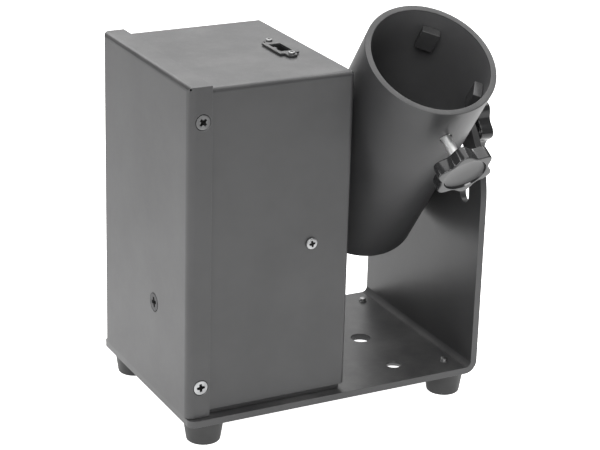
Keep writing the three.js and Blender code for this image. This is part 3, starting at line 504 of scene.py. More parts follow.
def board_material():
    """Green solder mask over faint copper tracks."""
    material, w, shader = new_material("solder_mask")
    spot = w.place()
    tracks = w.node(
        "TexBrick",
        {"Vector": spot, "Scale": 160.0, "Mortar Size": 0.03, "Color1": (0, 0, 0, 1)},
    )
    tracks.inputs["Color2"].default_value = (0, 0, 0, 1)
    tracks.inputs["Mortar"].default_value = (1, 1, 1, 1)
    mask = w.math("MULTIPLY", tracks.outputs["Color"], 0.6)
    colour = mix_colour(w, mask, (0.012, 0.09, 0.035), (0.04, 0.2, 0.08))
    cloud = w.ramp(w.noise(spot, 90.0, 4.0), 0.3, 0.7, 0.0, 0.35)
    w.link(mix_colour(w, cloud, colour, (0.01, 0.06, 0.03)), shader.inputs["Base Color"])
    add_handling(w, shader, Roughness=0.32, Spread=0.08)
    add_bump(w, shader, mask, 0.2, 0.00004)
    return material


def tape_material():
    """Yellow polyester tape wound round the coil in overlapping turns."""
    material, w, shader = new_material("coil_tape")
    spot = w.place()
    turns = w.node(
        "TexWave",
        {"Vector": spot, "Scale": 60.0, "Distortion": 2.0, "Detail": 2.0},
        wave_type="RINGS",
        rings_direction="X",
    )
    lap = w.ramp(turns.outputs["Fac"], 0.2, 0.9)
    w.link(mix_colour(w, lap, (0.42, 0.28, 0.06), (0.62, 0.46, 0.13)), shader.inputs["Base Color"])
    add_handling(w, shader, Roughness=0.3, Spread=0.08)
    add_bump(w, shader, turns.outputs["Fac"], 0.3, 0.0002)
    return material


COAT_DARK, COAT_LIGHT = (0.036, 0.036, 0.037), (0.046, 0.046, 0.047)
coat_box = powder_coat("powder_coat_box", COAT_DARK, COAT_LIGHT, 0.42, 0.3)
coat_bracket = powder_coat("powder_coat_bracket", COAT_DARK, COAT_LIGHT, 0.36, 0.16)
coat_fold = powder_coat("powder_coat_fold", COAT_DARK, COAT_LIGHT, 0.75, 0.1)
coat_tube = powder_coat(
    "powder_coat_tube", (0.026, 0.026, 0.027), (0.034, 0.034, 0.035), 0.38, 0.2, bump=0.16
)
coat_guide = powder_coat("powder_coat_guide", (0.045, 0.045, 0.046), (0.06, 0.06, 0.061), 0.25, 0.5)
# A much lighter copy of the tube's coat for the bore and the tube's floor: painted light inside the
# tube, where little lamp light reaches
painted_light_bore_coat = powder_coat("powder_coat_painted_light_bore", (0.078, 0.078, 0.08), (0.094, 0.094, 0.096), 0.55, 0.3)
zinc = plated_steel("bright_zinc", (0.78, 0.785, 0.79), 0.2)
zinc_dull = plated_steel("dull_zinc", (0.42, 0.42, 0.42), 0.38)
zinc_turned = plated_steel(
    "turned_zinc", (0.94, 0.94, 0.94), 0.42, streak=(1, 1, 8), scratches=0.03, bump=0.03
)
sheet_steel = plated_steel("plain_sheet", (0.5, 0.51, 0.52), 0.34, streak=(1, 14, 1))
blackened = plated_steel("blackened_steel", (0.05, 0.05, 0.052), 0.35)
# A near-black copy of the screw metal for the walls of the cross recesses: painted shade in the
# recesses
painted_shade_recess = plated_steel("painted_shade_screw_recess", (0.03, 0.03, 0.03), 0.6)
zinc_head = plated_steel("zinc_screw_head", (0.5, 0.505, 0.51), 0.42)
black_head = plated_steel("black_screw_head", (0.22, 0.22, 0.222), 0.45)
pin_brass = plated_steel("contact_metal", (0.75, 0.62, 0.36), 0.25)
knob_black = moulded(
    "knob_polished_black", (0.014, 0.014, 0.015), (0.022, 0.022, 0.023), 0.15, 500.0, 0.03,
    gloss=0.62, dust=0.05,
)
foot_rubber = moulded(
    "foot_rubber", (0.026, 0.026, 0.026), (0.038, 0.038, 0.038), 0.5, 1500.0, 0.3, gloss=0.45
)
matt_black = moulded(
    "matt_black_plastic", (0.012, 0.012, 0.0125), (0.02, 0.02, 0.021), 0.5, 2600.0, 0.35
)
button_black = moulded(
    "button_plastic", (0.014, 0.014, 0.015), (0.022, 0.022, 0.023), 0.34, 1800.0, 0.15
)
relay_blue = moulded(
    "relay_case", (0.012, 0.06, 0.24), (0.02, 0.085, 0.3), 0.25, 900.0, 0.1, gloss=0.55
)
window_red = moulded(
    "display_window_red", (0.03, 0.003, 0.003), (0.045, 0.005, 0.005), 0.09, 300.0, 0.02,
    gloss=0.6, coat=0.6, dust=0.08,
)
segment_red = moulded(
    "display_segments", (0.12, 0.03, 0.028), (0.15, 0.04, 0.036), 0.3, 900.0, 0.05
)
solder_mask = board_material()
coil_tape = tape_material()


# Screws

def cross_cutter(size, depth, top):
    """A tapered four-armed recess, as a cross-head driver fits."""
    half, thick = size / 2, size * 0.15
    outline = []
    for quarter in range(4):
        turn = Matrix.Rotation(quarter * pi / 2, 2)
        inner = thick * 1.5
        for point in ((inner, -thick * 1.2), (half, -thick), (half, thick), (inner, thick * 1.2)):
            outline.append(turn @ Vector(point))
    rings = [[Vector((0, 0, top - depth))]]
    for scale, height in ((0.36, top - depth * 0.96), (1.0, top), (1.1, top + 1)):
        rings.append([Vector((p.x * scale, p.y * scale, height)) for p in outline])
    rings.append([Vector((0, 0, top + 1))])
    return loft(rings)


def cut_cross(body, size, depth, top):
    """Sinks the driver's recess into a head and marks its walls for a painted shade."""
    combine(body, [cross_cutter(size, depth, top)])
    for polygon in body.data.polygons:
        spot = polygon.center
        inside = hypot(spot.x, spot.y) < size / 2 + 0.05
        sunk = spot.z < top - depth * 0.5 or polygon.normal.z < 0.9
        if inside and spot.z > top - depth - 0.05 and sunk:
            polygon.material_index = 1


def countersunk_screw(head, shank, length, raised=0.0, turn=0.0):
    """A flush or raised countersunk screw along -Z. Its rim is at z = 0."""
    rim = 0.18
    top = [(head - rim * 0.4, 0.0)]
    top += [
        (head * cos(radians(a)) * 0.97, raised * sin(radians(a)))
        for a in (20, 40, 60, 76)
    ] if raised else []
    profile = [
        (0, -length), (shank - 0.4, -length), (shank, -length + 0.4), (shank, shank - head - 0.1),
        (head - 0.05, -rim), (head, -rim * 0.6), *top, (0, raised),
    ]
    body = lathe(profile, sides=56)
    depth = (head - shank) * 0.8 + raised
    cut_cross(body, head * 1.15, depth, raised)
    return place(eased(body, 0.07, 1, 40), turned(turn, "Z"))


def pan_screw(head, height, shank, length, turn=0.0):
    """A pan-head screw along -Z whose head sits on z = 0."""
    profile = [
        (0, -length), (shank - 0.3, -length), (shank, -length + 0.3), (shank, 0), (head * 0.97, 0),
        (head, height * 0.08), (head, height * 0.5), (head * 0.97, height * 0.72),
        (head * 0.9, height * 0.88), (head * 0.76, height * 0.96), (head * 0.4, height * 0.995),
        (0, height),
    ]
    body = lathe(profile, sides=56)
    cut_cross(body, head * 1.16, height * 0.85, height)
    return place(eased(body, 0.06, 1, 40), turned(turn, "Z"))


def threaded_rod(radius, pitch, low, high, sides=40):
    """A rod whose flank rises and falls once a pitch, with plain ends."""
    rings = [[Vector((0, 0, low))]]
    steps = max(2, int((high - low) / pitch * 4))
    for step in range(steps + 1):
        z = low + (high - low) * step / steps
        fall = 0.0 if step % 2 else pitch * 0.3
        if step in (0, steps):
            fall = pitch * 0.5
        rings.append([
            Vector((
                (radius - fall) * cos(2 * pi * i / sides),
                (radius - fall) * sin(2 * pi * i / sides),
                z,
            ))
            for i in range(sides)
        ])
    rings.append([Vector((0, 0, high))])
    return loft(rings)


def hex_nut(flats, bore, height):
    corner = flats / sqrt(3)
    outline = [
        (corner * cos(radians(60 * i)), corner * sin(radians(60 * i)))
        for i in range(6)
    ]
    nut = prism(outline, 0, height)
    chamfer = height * 0.14
    cone = lathe(
        [(0, -0.01), (corner - chamfer * 1.6, -0.01), (corner + 0.02, chamfer),
         (corner + 0.02, height - chamfer), (corner - chamfer * 1.6, height + 0.01),
         (0, height + 0.01)],
        sides=96,
    )
    combine(nut, [cone], "INTERSECT")
    hole = lathe(
        [(0, -1), (bore + 1, -1), (bore, 0.5), (bore, height - 0.5), (bore + 1, height + 1),
         (0, height + 1)],
        sides=48,
    )
    return combine(nut, [hole])


def washer(outer, bore, low, high, ease=0.2, sides=72):
    """A flat ring along Z with its rims eased."""
    return lathe(
        [(bore, low + ease), (bore + ease, low), (outer - ease, low), (outer, low + ease),
         (outer, high - ease), (outer - ease, high), (bore + ease, high), (bore, high - ease),
         (bore, low + ease)],
        sides=sides,
    )


# Bracket and feet

FOOT_X, FOOT_Y = (14.7, 170.9), (10.6, 109.4)
BRACKET_START, BRACKET_END, OVERHANG, BRACKET_BEND = 0.5, 185.0, 3.0, 7.5
CORNER = 4.5
BASE_SCREW_X = (30, 84)
CLAMP_HOLE = (142, 60, 0)
STAND_BOLT_X, STAND_BOLT_INSET = 141, 18.3
SLOT_BEFORE, SLOT_AFTER, SLOT_WIDTH = 1.5, 89.6, 9.0  # degrees past the top each way, then mm
FOOT_TOP_RADIUS, FOOT_END_RADIUS, FOOT_HEIGHT = 11.5, 9.68, 14.1


def make_bracket():
    pivot = (PIVOT.y, PIVOT.z)
    right, left = -OVERHANG, BOX_WIDTH + OVERHANG
    bend = (BRACKET_END - BRACKET_BEND, BRACKET_BEND - PLATE)
    crown = PIVOT.z + (left - right) / 2
    profile = [(BRACKET_START, -PLATE)]
    profile += arc(bend, BRACKET_BEND, -90, 0, 18)
    profile += [(BRACKET_END, crown + 1), (BRACKET_END - PLATE, crown + 1)]
    profile += arc(bend, BRACKET_BEND - PLATE, 0, -90, 18)
    profile += [(BRACKET_START, 0)]
    arch = [(right, -PLATE - 1), (left, -PLATE - 1)]
    arch += arc(pivot, (left - right) / 2, 0, 180, 96)
    body = prism(profile, right - 1, left + 1, "y")
    combine(body, [prism(arch, -1, BRACKET_END + 1, "x")], "INTERSECT")
    first, last, half = 90 - SLOT_BEFORE, 90 + SLOT_AFTER, SLOT_WIDTH / 2
    first_centre, last_centre = arc(pivot, SLOT_RADIUS, first, last, 1)
    slot = arc(pivot, SLOT_RADIUS + half, first, last, 48)
    slot += arc(last_centre, half, last, last + 180, 16)[1:-1]
    slot += arc(pivot, SLOT_RADIUS - half, last, first, 44)
    slot += arc(first_centre, half, first + 180, first + 360, 16)[1:-1]
    tools = [prism(slot, BRACKET_END - 10, BRACKET_END + 2, "x")]
    tools.append(rod(BOLT_HOLE, BRACKET_END - 10, BRACKET_END + 2, "x", (0, *pivot)))
    tools.append(rod(6, -8, 4, at=CLAMP_HOLE, sides=64))
    tools += [
        lathe([(0, -5), (8, -5), (4.25, -1.25), (4.25, 1), (0, 1)], at=(STAND_BOLT_X, y, 0))
        for y in (STAND_BOLT_INSET, BOX_WIDTH - STAND_BOLT_INSET)
    ]
    for edge, inwards in ((right, 1), (left, -1)):
        y = edge + inwards * CORNER
        low, high = sorted((edge - inwards, y))
        square = block(BRACKET_START - 1, BRACKET_START + CORNER, low, high, -PLATE - 1, 1)
        round_post = rod(CORNER, -PLATE - 2, 2, at=(BRACKET_START + CORNER, y, 0), sides=96)
        tools.append(combine(square, [round_post]))
    tools += [rod(2.3, -8, 4, at=(x, y, 0), sides=32) for x in FOOT_X for y in FOOT_Y]
    tools += [
        lathe([(0, -5), (5.7, -5), (2.3, -1.6), (2.3, 1), (0, 1)], at=(x, BOX_WIDTH / 2, 0))
        for x in BASE_SCREW_X
    ]
    combine(body, tools)
    return eased(body, 0.45, 3)


def make_foot():
    """A tapered rubber foot with a recess for its screw, its top at z = 0."""
    return lathe([
        (5.0, 0.3 - FOOT_HEIGHT), (5.3, -FOOT_HEIGHT), (8.6, -FOOT_HEIGHT), (9.15, -13.95),
        (9.5, -13.6), (FOOT_END_RADIUS, -13.1), (FOOT_TOP_RADIUS, -1.0), (11.45, -0.6),
        (11.1, -GAP), (2.4, -GAP), (2.4, -8.1), (5.0, -8.1), (5.0, 0.3 - FOOT_HEIGHT),
    ], sides=96)


def make_foot_screw():
    screw = joined(pan_screw(3.8, 2.6, 1.95, 3.0), threaded_rod(1.95, 0.7, -14.7, -2.9))
    return place(screw, moved(0, 0, -8.4) @ turned(180, "X"))


bracket = finish(make_bracket(), "bracket", coat_bracket, ["base_bracket"])
bracket.data.materials.append(coat_fold)
for polygon in bracket.data.polygons:
    spot = ROW.inverted() @ polygon.center
    over, up = spot.x - BRACKET_END + BRACKET_BEND, spot.z - BRACKET_BEND + PLATE
    if over > -0.2 and up < 0.2 and hypot(over, up) < BRACKET_BEND - PLATE + 0.3:
        polygon.material_index = 1
CORNERS = ("front_right", "front_left", "rear_right", "rear_left")
for corner, (x, y) in zip(CORNERS, [(x, y) for x in FOOT_X for y in FOOT_Y]):
    spot = moved(x, y, -PLATE)
    finish(make_foot(), f"rubber_foot_{corner}", foot_rubber, [f"foot_{corner}"], spot)
    finish(make_foot_screw(), f"foot_fixing_{corner}", zinc_dull, [f"foot_screw_{corner}"], spot)

# Front panel, cover and their screws

PANEL_SCREW_X, PANEL_SCREW_Z = 8.1, (18.5, 171)
TRANSFORMER_BOLT = (0, 46, 53.2)


def panel_screw_holes():
    profile = [(0, -1), (5.7, -1), (2.3, 2.4), (2.3, 7), (0, 7)]
    tools = []
    for z in PANEL_SCREW_Z:
        tools.append(lathe(profile, "y", (PANEL_SCREW_X, 0, z)))
        mirrored = [(r, -y) for r, y in profile]
        tools.append(lathe(mirrored, "y", (PANEL_SCREW_X, BOX_WIDTH, z)))
    return tools


def slanted_rod(radius, direction, at, length=14):
    turn = Vector(direction).to_track_quat("Z", "Y").to_matrix().to_4x4()
    piece = rod(radius, -length / 2, length / 2, sides=32)
    return place(piece, moved(*at) @ turn)


def make_front_panel():
    flange, side_bend, top_bend, bottom = 13.4, 4.6, 3.2, 0.5
    plan = rounded(0, 0, flange, BOX_WIDTH, (side_bend, 0, 0, side_bend))
    side = rounded(0, bottom, flange, BOX_TOP, (0, 0, 0, top_bend))
    body = prism(plan, 0, BOX_TOP + 1)
    combine(body, [prism(side, -1, BOX_WIDTH + 1, "y")], "INTERSECT")
    inner_side, inner_top = side_bend - SHEET, top_bend - SHEET
    inside = prism(
        rounded(SHEET, SHEET, flange + 1, BOX_WIDTH - SHEET, (inner_side, 0, 0, inner_side)),
        -2, BOX_TOP - 0.2)
    hollow = prism(
        rounded(SHEET, -1, flange + 2, BOX_TOP - SHEET, (0, 0, 0, inner_top)),
        0, BOX_WIDTH, "y")
    combine(inside, [hollow], "INTERSECT")
    bolt_hole = lathe(
        [(0, -1), (6.6, -1), (2.8, 2.8), (2.8, 4), (0, 4)], "x", TRANSFORMER_BOLT)
    reliefs = [
        slanted_rod(0.6, (1, 1, -1), (0.6, 0.6, BOX_TOP - 0.6)),
        slanted_rod(0.6, (1, -1, -1), (0.6, BOX_WIDTH - 0.6, BOX_TOP - 0.6)),
    ]
    combine(body, [inside, bolt_hole, *panel_screw_holes(), *reliefs])
    return eased(body, 0.22, 2)


def cover_form(x0, x1, y0, y1, z0, z1, bend):
    body = prism(rounded(x0, y0, x1, y1, (0, bend, bend, 0)), z0, z1)
    front = prism(rounded(y0, z0, y1, z1, (0, 0, bend, bend)), x0 - 1, x1 + 1, "x")
    side = prism(rounded(x0, z0, x1, z1, (0, 0, bend, 0)), y0 - 1, y1 + 1, "y")
    return combine(body, [front, side], "INTERSECT")


# Centre and size of the display, then centres, all in x and z but the port's, in x and y

DISPLAY = (56, 158, 40, 16)
BUTTON_X, BUTTON_Z = (35, 49, 63, 77), 134
DATA_X, DATA_Z = (36, 76), 100
INLET, FUSE, TRIGGER = (40, 34), (80, 28), (80, 60)
PORT = (79.6, 53.9)
PORT_SIZE = (7.2, 15.2)
PORT_SCREWS = [(PORT[0], PORT[1] - 14), (PORT[0], PORT[1] + 14)]
SIDE_SCREW = (74.8, 92.8)


def make_cover():
    bend = 3.0
    body = cover_form(4.2, BOX_LENGTH, COVER_INSET, LEFT_FACE, 3.5, COVER_TOP, bend)
    hollow = cover_form(
        -1, BOX_LENGTH - SHEET, COVER_INSET + SHEET, LEFT_INNER, -1, COVER_TOP - SHEET,
        bend - SHEET)
    low, high = LEFT_INNER - 2, LEFT_FACE + 2
    window = prism(
        around(DISPLAY[:2], DISPLAY[2] / 2, DISPLAY[3] / 2, 1, 6), low, high, "y")
    half_x, half_y = PORT_SIZE[0] / 2 + 1.5, PORT_SIZE[1] / 2 + 1.7
    tools = [
        hollow, window, *panel_screw_holes(),
        rod(1.8, 0, 7, "y", (SIDE_SCREW[0], 0, SIDE_SCREW[1])),
        block(PORT[0] - half_x, PORT[0] + half_x, PORT[1] - half_y, PORT[1] + half_y,
              COVER_TOP - 4, COVER_TOP + 1),
        *[rod(1.5, -4, 1, at=(*at, COVER_TOP)) for at in PORT_SCREWS],
        *[rod(4.4, low, high, "y", (bx, 0, BUTTON_Z)) for bx in BUTTON_X],
        *[rod(12.1, low, high, "y", (dx, 0, DATA_Z), 72) for dx in DATA_X],
        block(INLET[0] - 14.2, INLET[0] + 14.2, low, high, INLET[1] - 10.4, INLET[1] + 10.4),
        rod(6.4, low, high, "y", (FUSE[0], 0, FUSE[1])),
        rod(8.4, low, high, "y", (TRIGGER[0], 0, TRIGGER[1])),
        slanted_rod(0.9, (-1, 1, -1), (BOX_LENGTH - 0.5, COVER_INSET + 0.5, COVER_TOP - 0.5)),
        slanted_rod(0.9, (-1, -1, -1), (BOX_LENGTH - 0.5, LEFT_FACE - 0.5, COVER_TOP - 0.5)),
    ]
    combine(body, tools)
    return eased(body, 0.2, 2)


finish(make_front_panel(), "front_tray", coat_box, ["front_panel"])
finish(make_cover(), "box_cover", coat_box, ["cover"])
PANEL_SCREW_LOOKS = (("lower", 4, zinc_head), ("upper", 45, black_head))
for (level, turn, metal), z in zip(PANEL_SCREW_LOOKS, PANEL_SCREW_Z):
    for side, y, facing in (("right", 0.1, TO_RIGHT), ("left", BOX_WIDTH - 0.1, TO_LEFT)):
        finish(countersunk_screw(4.1, 2.0, 8.5, 0.15, turn), f"panel_fixing_{side}_{level}",
               metal, [f"panel_screw_{side}_{level}"], moved(PANEL_SCREW_X, y, z) @ facing)
finish(pan_screw(3.3, 1.3, 1.5, 8, 10), "side_fixing", zinc_head, ["side_screw"],
       moved(SIDE_SCREW[0], COVER_INSET - GAP, SIDE_SCREW[1]) @ TO_RIGHT)
for label, x in zip(("front", "rear"), BASE_SCREW_X):
    finish(countersunk_screw(4.1, 2.0, 9), f"base_fixing_{label}", zinc, [f"base_screw_{label}"],
           moved(x, BOX_WIDTH / 2, 0.1 - PLATE) @ turned(180, "X"))
finish(countersunk_screw(5.1, 2.5, 43.2, 0, 12), "transformer_fixing", blackened,
       ["transformer_bolt"], moved(*TRANSFORMER_BOLT) @ turned(-90, "Y"))

# Data port on the top, its parts given from its centre and the cover's top

FLANGE = 1.2


def at_port(points):
    return [(PORT[0] + x, PORT[1] + y) for x, y in points]


def port_block(x0, x1, y0, y1, z0, z1):
    return prism(at_port([(x0, y0), (x1, y0), (x1, y1), (x0, y1)]), COVER_TOP + z0, COVER_TOP + z1)


def make_port_plate():
    end = [(5.9, -11.6), (3.2, -11.6), *arc((0, -14), 3.2, 0, -90, 10)]
    right_end = end + [(-x, y) for x, y in reversed(end[:-1])]
    outline = right_end + [(-x, -y) for x, y in right_end]
    low = COVER_TOP + GAP
    plate = prism(at_port(outline), low, low + FLANGE)
    half_x, half_y = PORT_SIZE[0] / 2, PORT_SIZE[1] / 2
    notch_half, notch_end = 1.6, 1.1 - half_x
    mouth = [
        (-half_x, -half_y), (half_x, -half_y), (half_x, half_y), (-half_x, half_y),
        (-half_x, notch_half), (notch_end, notch_half), (notch_end, -notch_half),
        (-half_x, -notch_half),
    ]
    screw_holes = [rod(1.5, -1, 3, at=(*at, low)) for at in PORT_SCREWS]
    combine(plate, [prism(at_port(mouth), low - 1, low + 3), *screw_holes])
    return eased(plate, 0.16, 2)


def make_port_socket():
    half_x, half_y = PORT_SIZE[0] / 2, PORT_SIZE[1] / 2
    body = port_block(-half_x - 1.2, half_x + 1.2, -half_y - 1.4, half_y + 1.4, -14, 0)
    combine(body, [port_block(-half_x, half_x, -half_y, half_y, -12, 1)])
    tongue = port_block(1.1, 2.9, -5.8, 5.8, -12.4, -2)
    return joined(eased(body, 0.15, 2), eased(tongue, 0.2, 2))


def make_port_contacts():
    """Spring contacts in a row on the tongue."""
    rows = [-4.4 + 2.2 * i for i in range(5)]
    return joined(*[
        eased(port_block(0.95, 1.2, y - 0.45, y + 0.45, -11, -2.8), 0.08, 1) for y in rows
    ])


finish(make_port_plate(), "port_flange", coat_box, ["port_plate"])
finish(make_port_socket(), "port_well", matt_black, ["port_socket"])
finish(make_port_contacts(), "port_contacts", pin_brass)
for side, (x, y), turn in zip(("right", "left"), PORT_SCREWS, (25, 70)):
    finish(pan_screw(2.0, 0.9, 1.2, 6, turn), f"port_fixing_{side}", zinc_dull,
           [f"port_screw_{side}"], moved(x, y, COVER_TOP + 2 * GAP + FLANGE))

# Left side: display, buttons and sockets. Their distances in y run outwards from the cover's
# left face, and those in x and z from their own centres

BEHIND = -SHEET - GAP


def left_lathe(profile, centre, sides):
    """A turned piece on the left side: points are (radius, distance out from the face)."""
    heights = [(radius, LEFT_FACE + out) for radius, out in profile]
    return lathe(heights, "y", (centre[0], 0, centre[1]), sides)


def left_prism(outline, low, high):
    return prism(outline, LEFT_FACE + low, LEFT_FACE + high, "y")


def left_block(centre, x0, x1, y0, y1, z0, z1):
    x, z = centre
    return block(x + x0, x + x1, LEFT_FACE + y0, LEFT_FACE + y1, z + z0, z + z1)


def make_window():
    spot, half_x, half_z = DISPLAY[:2], DISPLAY[2] / 2, DISPLAY[3] / 2
    outline = around(spot, half_x - GAP, half_z - GAP, 0.8, 6)
    pane = left_prism(outline, BEHIND - 0.5, 0.2)
    lip = left_prism(around(spot, half_x + 2, half_z + 2, 1, 6), BEHIND - 1, BEHIND)
    return eased(combine(pane, [lip], "UNION"), 0.15, 2)


def make_segments():
    """Unlit seven-segment digits just under the window's surface."""
    x0, z0 = DISPLAY[:2]
    half_w, half_h, thick, spacing, lean = 2.6, 4.6, 0.62, 8.6, 0.09
    bars = []
    for digit in range(4):
        cx = x0 + (1.5 - digit) * spacing
        for dx, dz, flat in (
            (0, half_h, True), (0, 0, True), (0, -half_h, True),
            (-half_w, half_h / 2, False), (half_w, half_h / 2, False),
            (-half_w, -half_h / 2, False), (half_w, -half_h / 2, False),
        ):
            long = (half_w if flat else half_h / 2) - thick * 0.35
            bar = [(-long, 0), (thick - long, -thick), (long - thick, -thick), (long, 0),
                   (long - thick, thick), (thick - long, thick)]
            if not flat:
                bar = [(-v, u) for u, v in bar]
            slant = [(cx + dx + u - (dz + v) * lean, z0 + dz + v) for u, v in bar]
            bars.append(left_prism(slant, 0.1, 0.23))
    return joined(*bars)


def make_button(x):
    return left_lathe([
        (0, -6.6), (1.5, -6.6), (1.5, BEHIND - 1.5), (5.0, BEHIND - 1.5), (5.2, BEHIND - 1.3),
        (5.2, BEHIND), (4.0, BEHIND), (4.0, 1.0), (3.85, 1.4), (3.5, 1.65), (3.2, 1.7),
        (2.4, 1.58), (0, 1.42),
    ], (x, BUTTON_Z), 64)


def socket_flange(x):
    cut, half_x, half_z = 3, 13, 15.5
    right = [(half_x - cut, -half_z), (half_x, cut - half_z)]
    right += [(dx, -dz) for dx, dz in reversed(right)]
    corners = right + [(-dx, dz) for dx, dz in reversed(right)]
    plate = left_prism([(x + dx, DATA_Z + dz) for dx, dz in corners], GAP, GAP + 1.8)
    mouth = left_lathe([(0, -1), (11.5, -1), (11.5, 5), (0, 5)], (x, DATA_Z), 72)
    seats = [
        lathe([(0, 1.2), (1.5, 1.2), (2.5, 2.4), (0, 2.4)], "y",
              (x + dx, LEFT_FACE, DATA_Z + dz), 32)
        for dx, dz in ((-10, 12), (10, -12))
    ]
    return eased(combine(plate, [mouth, *seats]), 0.3, 2)


def contact_spots(x):
    return arc((x, DATA_Z), 5, 90, 330, 2)


def make_data_input(x):
    """Recessed three-pin socket: flange, lined well."""
    well = left_lathe([
        (0, -21.2), (11.4, -21.2), (11.4, 2.3), (11.1, 2.6), (9.9, 2.6), (9.5, 2.2), (9.4, 1.5),
        (9.4, -13), (0, -13),
    ], (x, DATA_Z), 96)
    key = left_block((x, DATA_Z), -1.1, 1.1, -12.9, 0.5, 8.3, 9.6)
    return joined(socket_flange(x), well, eased(key, 0.2, 1))


def make_data_output(x):
    """Three-hole socket with a round insert and a release tab above it."""
    shell = left_lathe([
        (0, -21.2), (11.4, -21.2), (11.4, 2.3), (11.1, 2.6), (9.9, 2.6), (9.6, 2.3), (9.6, -12),
        (8.4, -12), (8.4, 1.6), (8.1, 1.9), (0, 1.9),
    ], (x, DATA_Z), 96)
    hole = [(0, -12), (1.3, -12), (1.3, 5), (0, 5)]
    combine(shell, [left_lathe(hole, spot, 32) for spot in contact_spots(x)])
    tab = left_prism(
        rounded(x - 3.2, DATA_Z + 11.9, x + 3.2, DATA_Z + 14.6, (0.8,) * 4, 5), 1.5, 2.6)
    return joined(socket_flange(x), shell, eased(tab, 0.2, 2))


def make_pins(spots, radius, low, high):
    return joined(*[
        left_lathe([
            (0, low), (radius, low), (radius, high - radius * 0.7),
            (radius * 0.8, high - radius * 0.25), (radius * 0.4, high), (0, high),
        ], spot, 28)
        for spot in spots
    ])


def make_inlet():
    x, z = INLET
    plate = left_prism(around(INLET, 24, 12, 4), GAP, GAP + 2)
    body = left_block(INLET, -13.9, 13.9, -20.2, 1, -10.1, 10.1)
    mouth = left_prism(
        rounded(x - 12.1, z - 8, x + 12.1, z + 8, (1.2, 1.2, 4, 4), 8), -15, 5)
    screw_seats = [
        lathe([(0, 1), (1.7, 1), (3.2, 2.6), (0, 2.6)], "y", (x + dx, LEFT_FACE, z), 40)
        for dx in (-20, 20)
    ]
    combine(plate, [body], "UNION")
    combine(plate, [mouth, *screw_seats])
    return eased(plate, 0.35, 3)


def make_inlet_pins():
    return joined(*[
        eased(left_block(INLET, dx - 1, dx + 1, -15.2, -3, low, 2), 0.35, 2)
        for dx, low in ((-7, -2.7), (0, -2), (7, -2.7))
    ])


def make_fuse_cap():
    """Screw cap with a coin slot and a knurled rim."""
    cap = left_lathe([
        (0, -26.2), (6, -26.2), (6, GAP), (8, GAP), (8, 1.4), (7.7, 1.7), (6.4, 1.7), (6.4, 3.9),
        (5.9, 4.4), (0, 4.4),
    ], FUSE, 72)
    slot = left_block(FUSE, -5, 5, 3.2, 6, -0.7, 0.7)
    grip = [(0, 1.9), (0.35, 1.9), (0.35, 5), (0, 5)]
    grips = [left_lathe(grip, spot, 10) for spot in arc(FUSE, 6.55, 0, 340, 17)]
    return eased(combine(cap, [slot, *grips]), 0.12, 1, 50)


def make_trigger_socket():
    return left_lathe([
        (0, -18.2), (8, -18.2), (8, GAP), (10.4, GAP), (10.5, GAP + 0.2), (10.5, 2.4),
        (10.1, 3.0), (9.4, 3.4), (6.9, 3.4), (6.4, 3.1), (6.2, 2.4), (6.2, -10), (0, -10),
    ], TRIGGER, 96)


finish(make_window(), "window_pane", window_red, ["display_window"])
finish(make_segments(), "window_digits", segment_red)
for index, x in enumerate(BUTTON_X, 1):
    finish(make_button(x), f"push_button_{index}", button_black, [f"button_{index}"],
           body=f"button_{index}")
finish(make_data_input(DATA_X[0]), "data_in_socket", matt_black, ["data_input"])
finish(make_pins(contact_spots(DATA_X[0]), 1.2, -13.5, -2), "data_in_pins", pin_brass)
finish(make_data_output(DATA_X[1]), "data_out_socket", matt_black, ["data_output"])
finish(make_inlet(), "mains_socket", matt_black, ["mains_inlet"])
finish(make_inlet_pins(), "mains_pins", zinc)
finish(make_fuse_cap(), "fuse_cap", matt_black, ["fuse_holder"])
finish(make_trigger_socket(), "firing_socket", matt_black, ["trigger_socket"])
firing_spots = [(TRIGGER[0] - 4, TRIGGER[1]), (TRIGGER[0] + 4, TRIGGER[1])]
finish(make_pins(firing_spots, 1.0, -10.5, -1), "firing_pins", pin_brass)

# Barrel, drawn with z along its axis and z = 0 at the pivot


def make_tube():
    lip, corner = 0.5, 0.15
    low, high = -TUBE_BELOW, TUBE_ABOVE
    tube = lathe([
        (TUBE_INNER, low + lip), (TUBE_INNER + corner, low + corner), (TUBE_INNER + lip, low),
        (TUBE_OUTER - lip, low), (TUBE_OUTER - corner, low + corner), (TUBE_OUTER, low + lip),
        (TUBE_OUTER, high - lip), (TUBE_OUTER - corner, high - corner), (TUBE_OUTER - lip, high),
        (TUBE_INNER + lip, high), (TUBE_INNER + corner, high - corner), (TUBE_INNER, high - lip),
        (TUBE_INNER, low + lip),
    ], sides=192)
    inside, outside = TUBE_INNER - 6, TUBE_OUTER + 2
    clamp_hole = place(
        lathe([
            (0, inside), (3.3, inside), (3.3, TUBE_OUTER - 0.6), (3.9, TUBE_OUTER),
            (3.9, outside), (0, outside),
        ], sides=48),
        moved(0, 0, CLAMP_HEIGHT) @ turned(CLAMP_SWING, "Z") @ turned(90, "X"))
    return combine(tube, [
        clamp_hole, rod(BOLT_HOLE, inside, outside, "x"),
        rod(BOLT_HOLE, inside, outside, "x", (0, 0, SLOT_RADIUS)),
    ])


def make_guide_pad():
    outer = TUBE_INNER - GAP
    half, thick = 5.25, 5.2
    outline = [(half, thick - outer), (-half, thick - outer)]
    edge = degrees(asin(half / outer))
    outline += arc((0, 0), outer, 270 - edge, 270 + edge, 12)
    return eased(prism(outline, 88, 102.3), 0.4, 3)


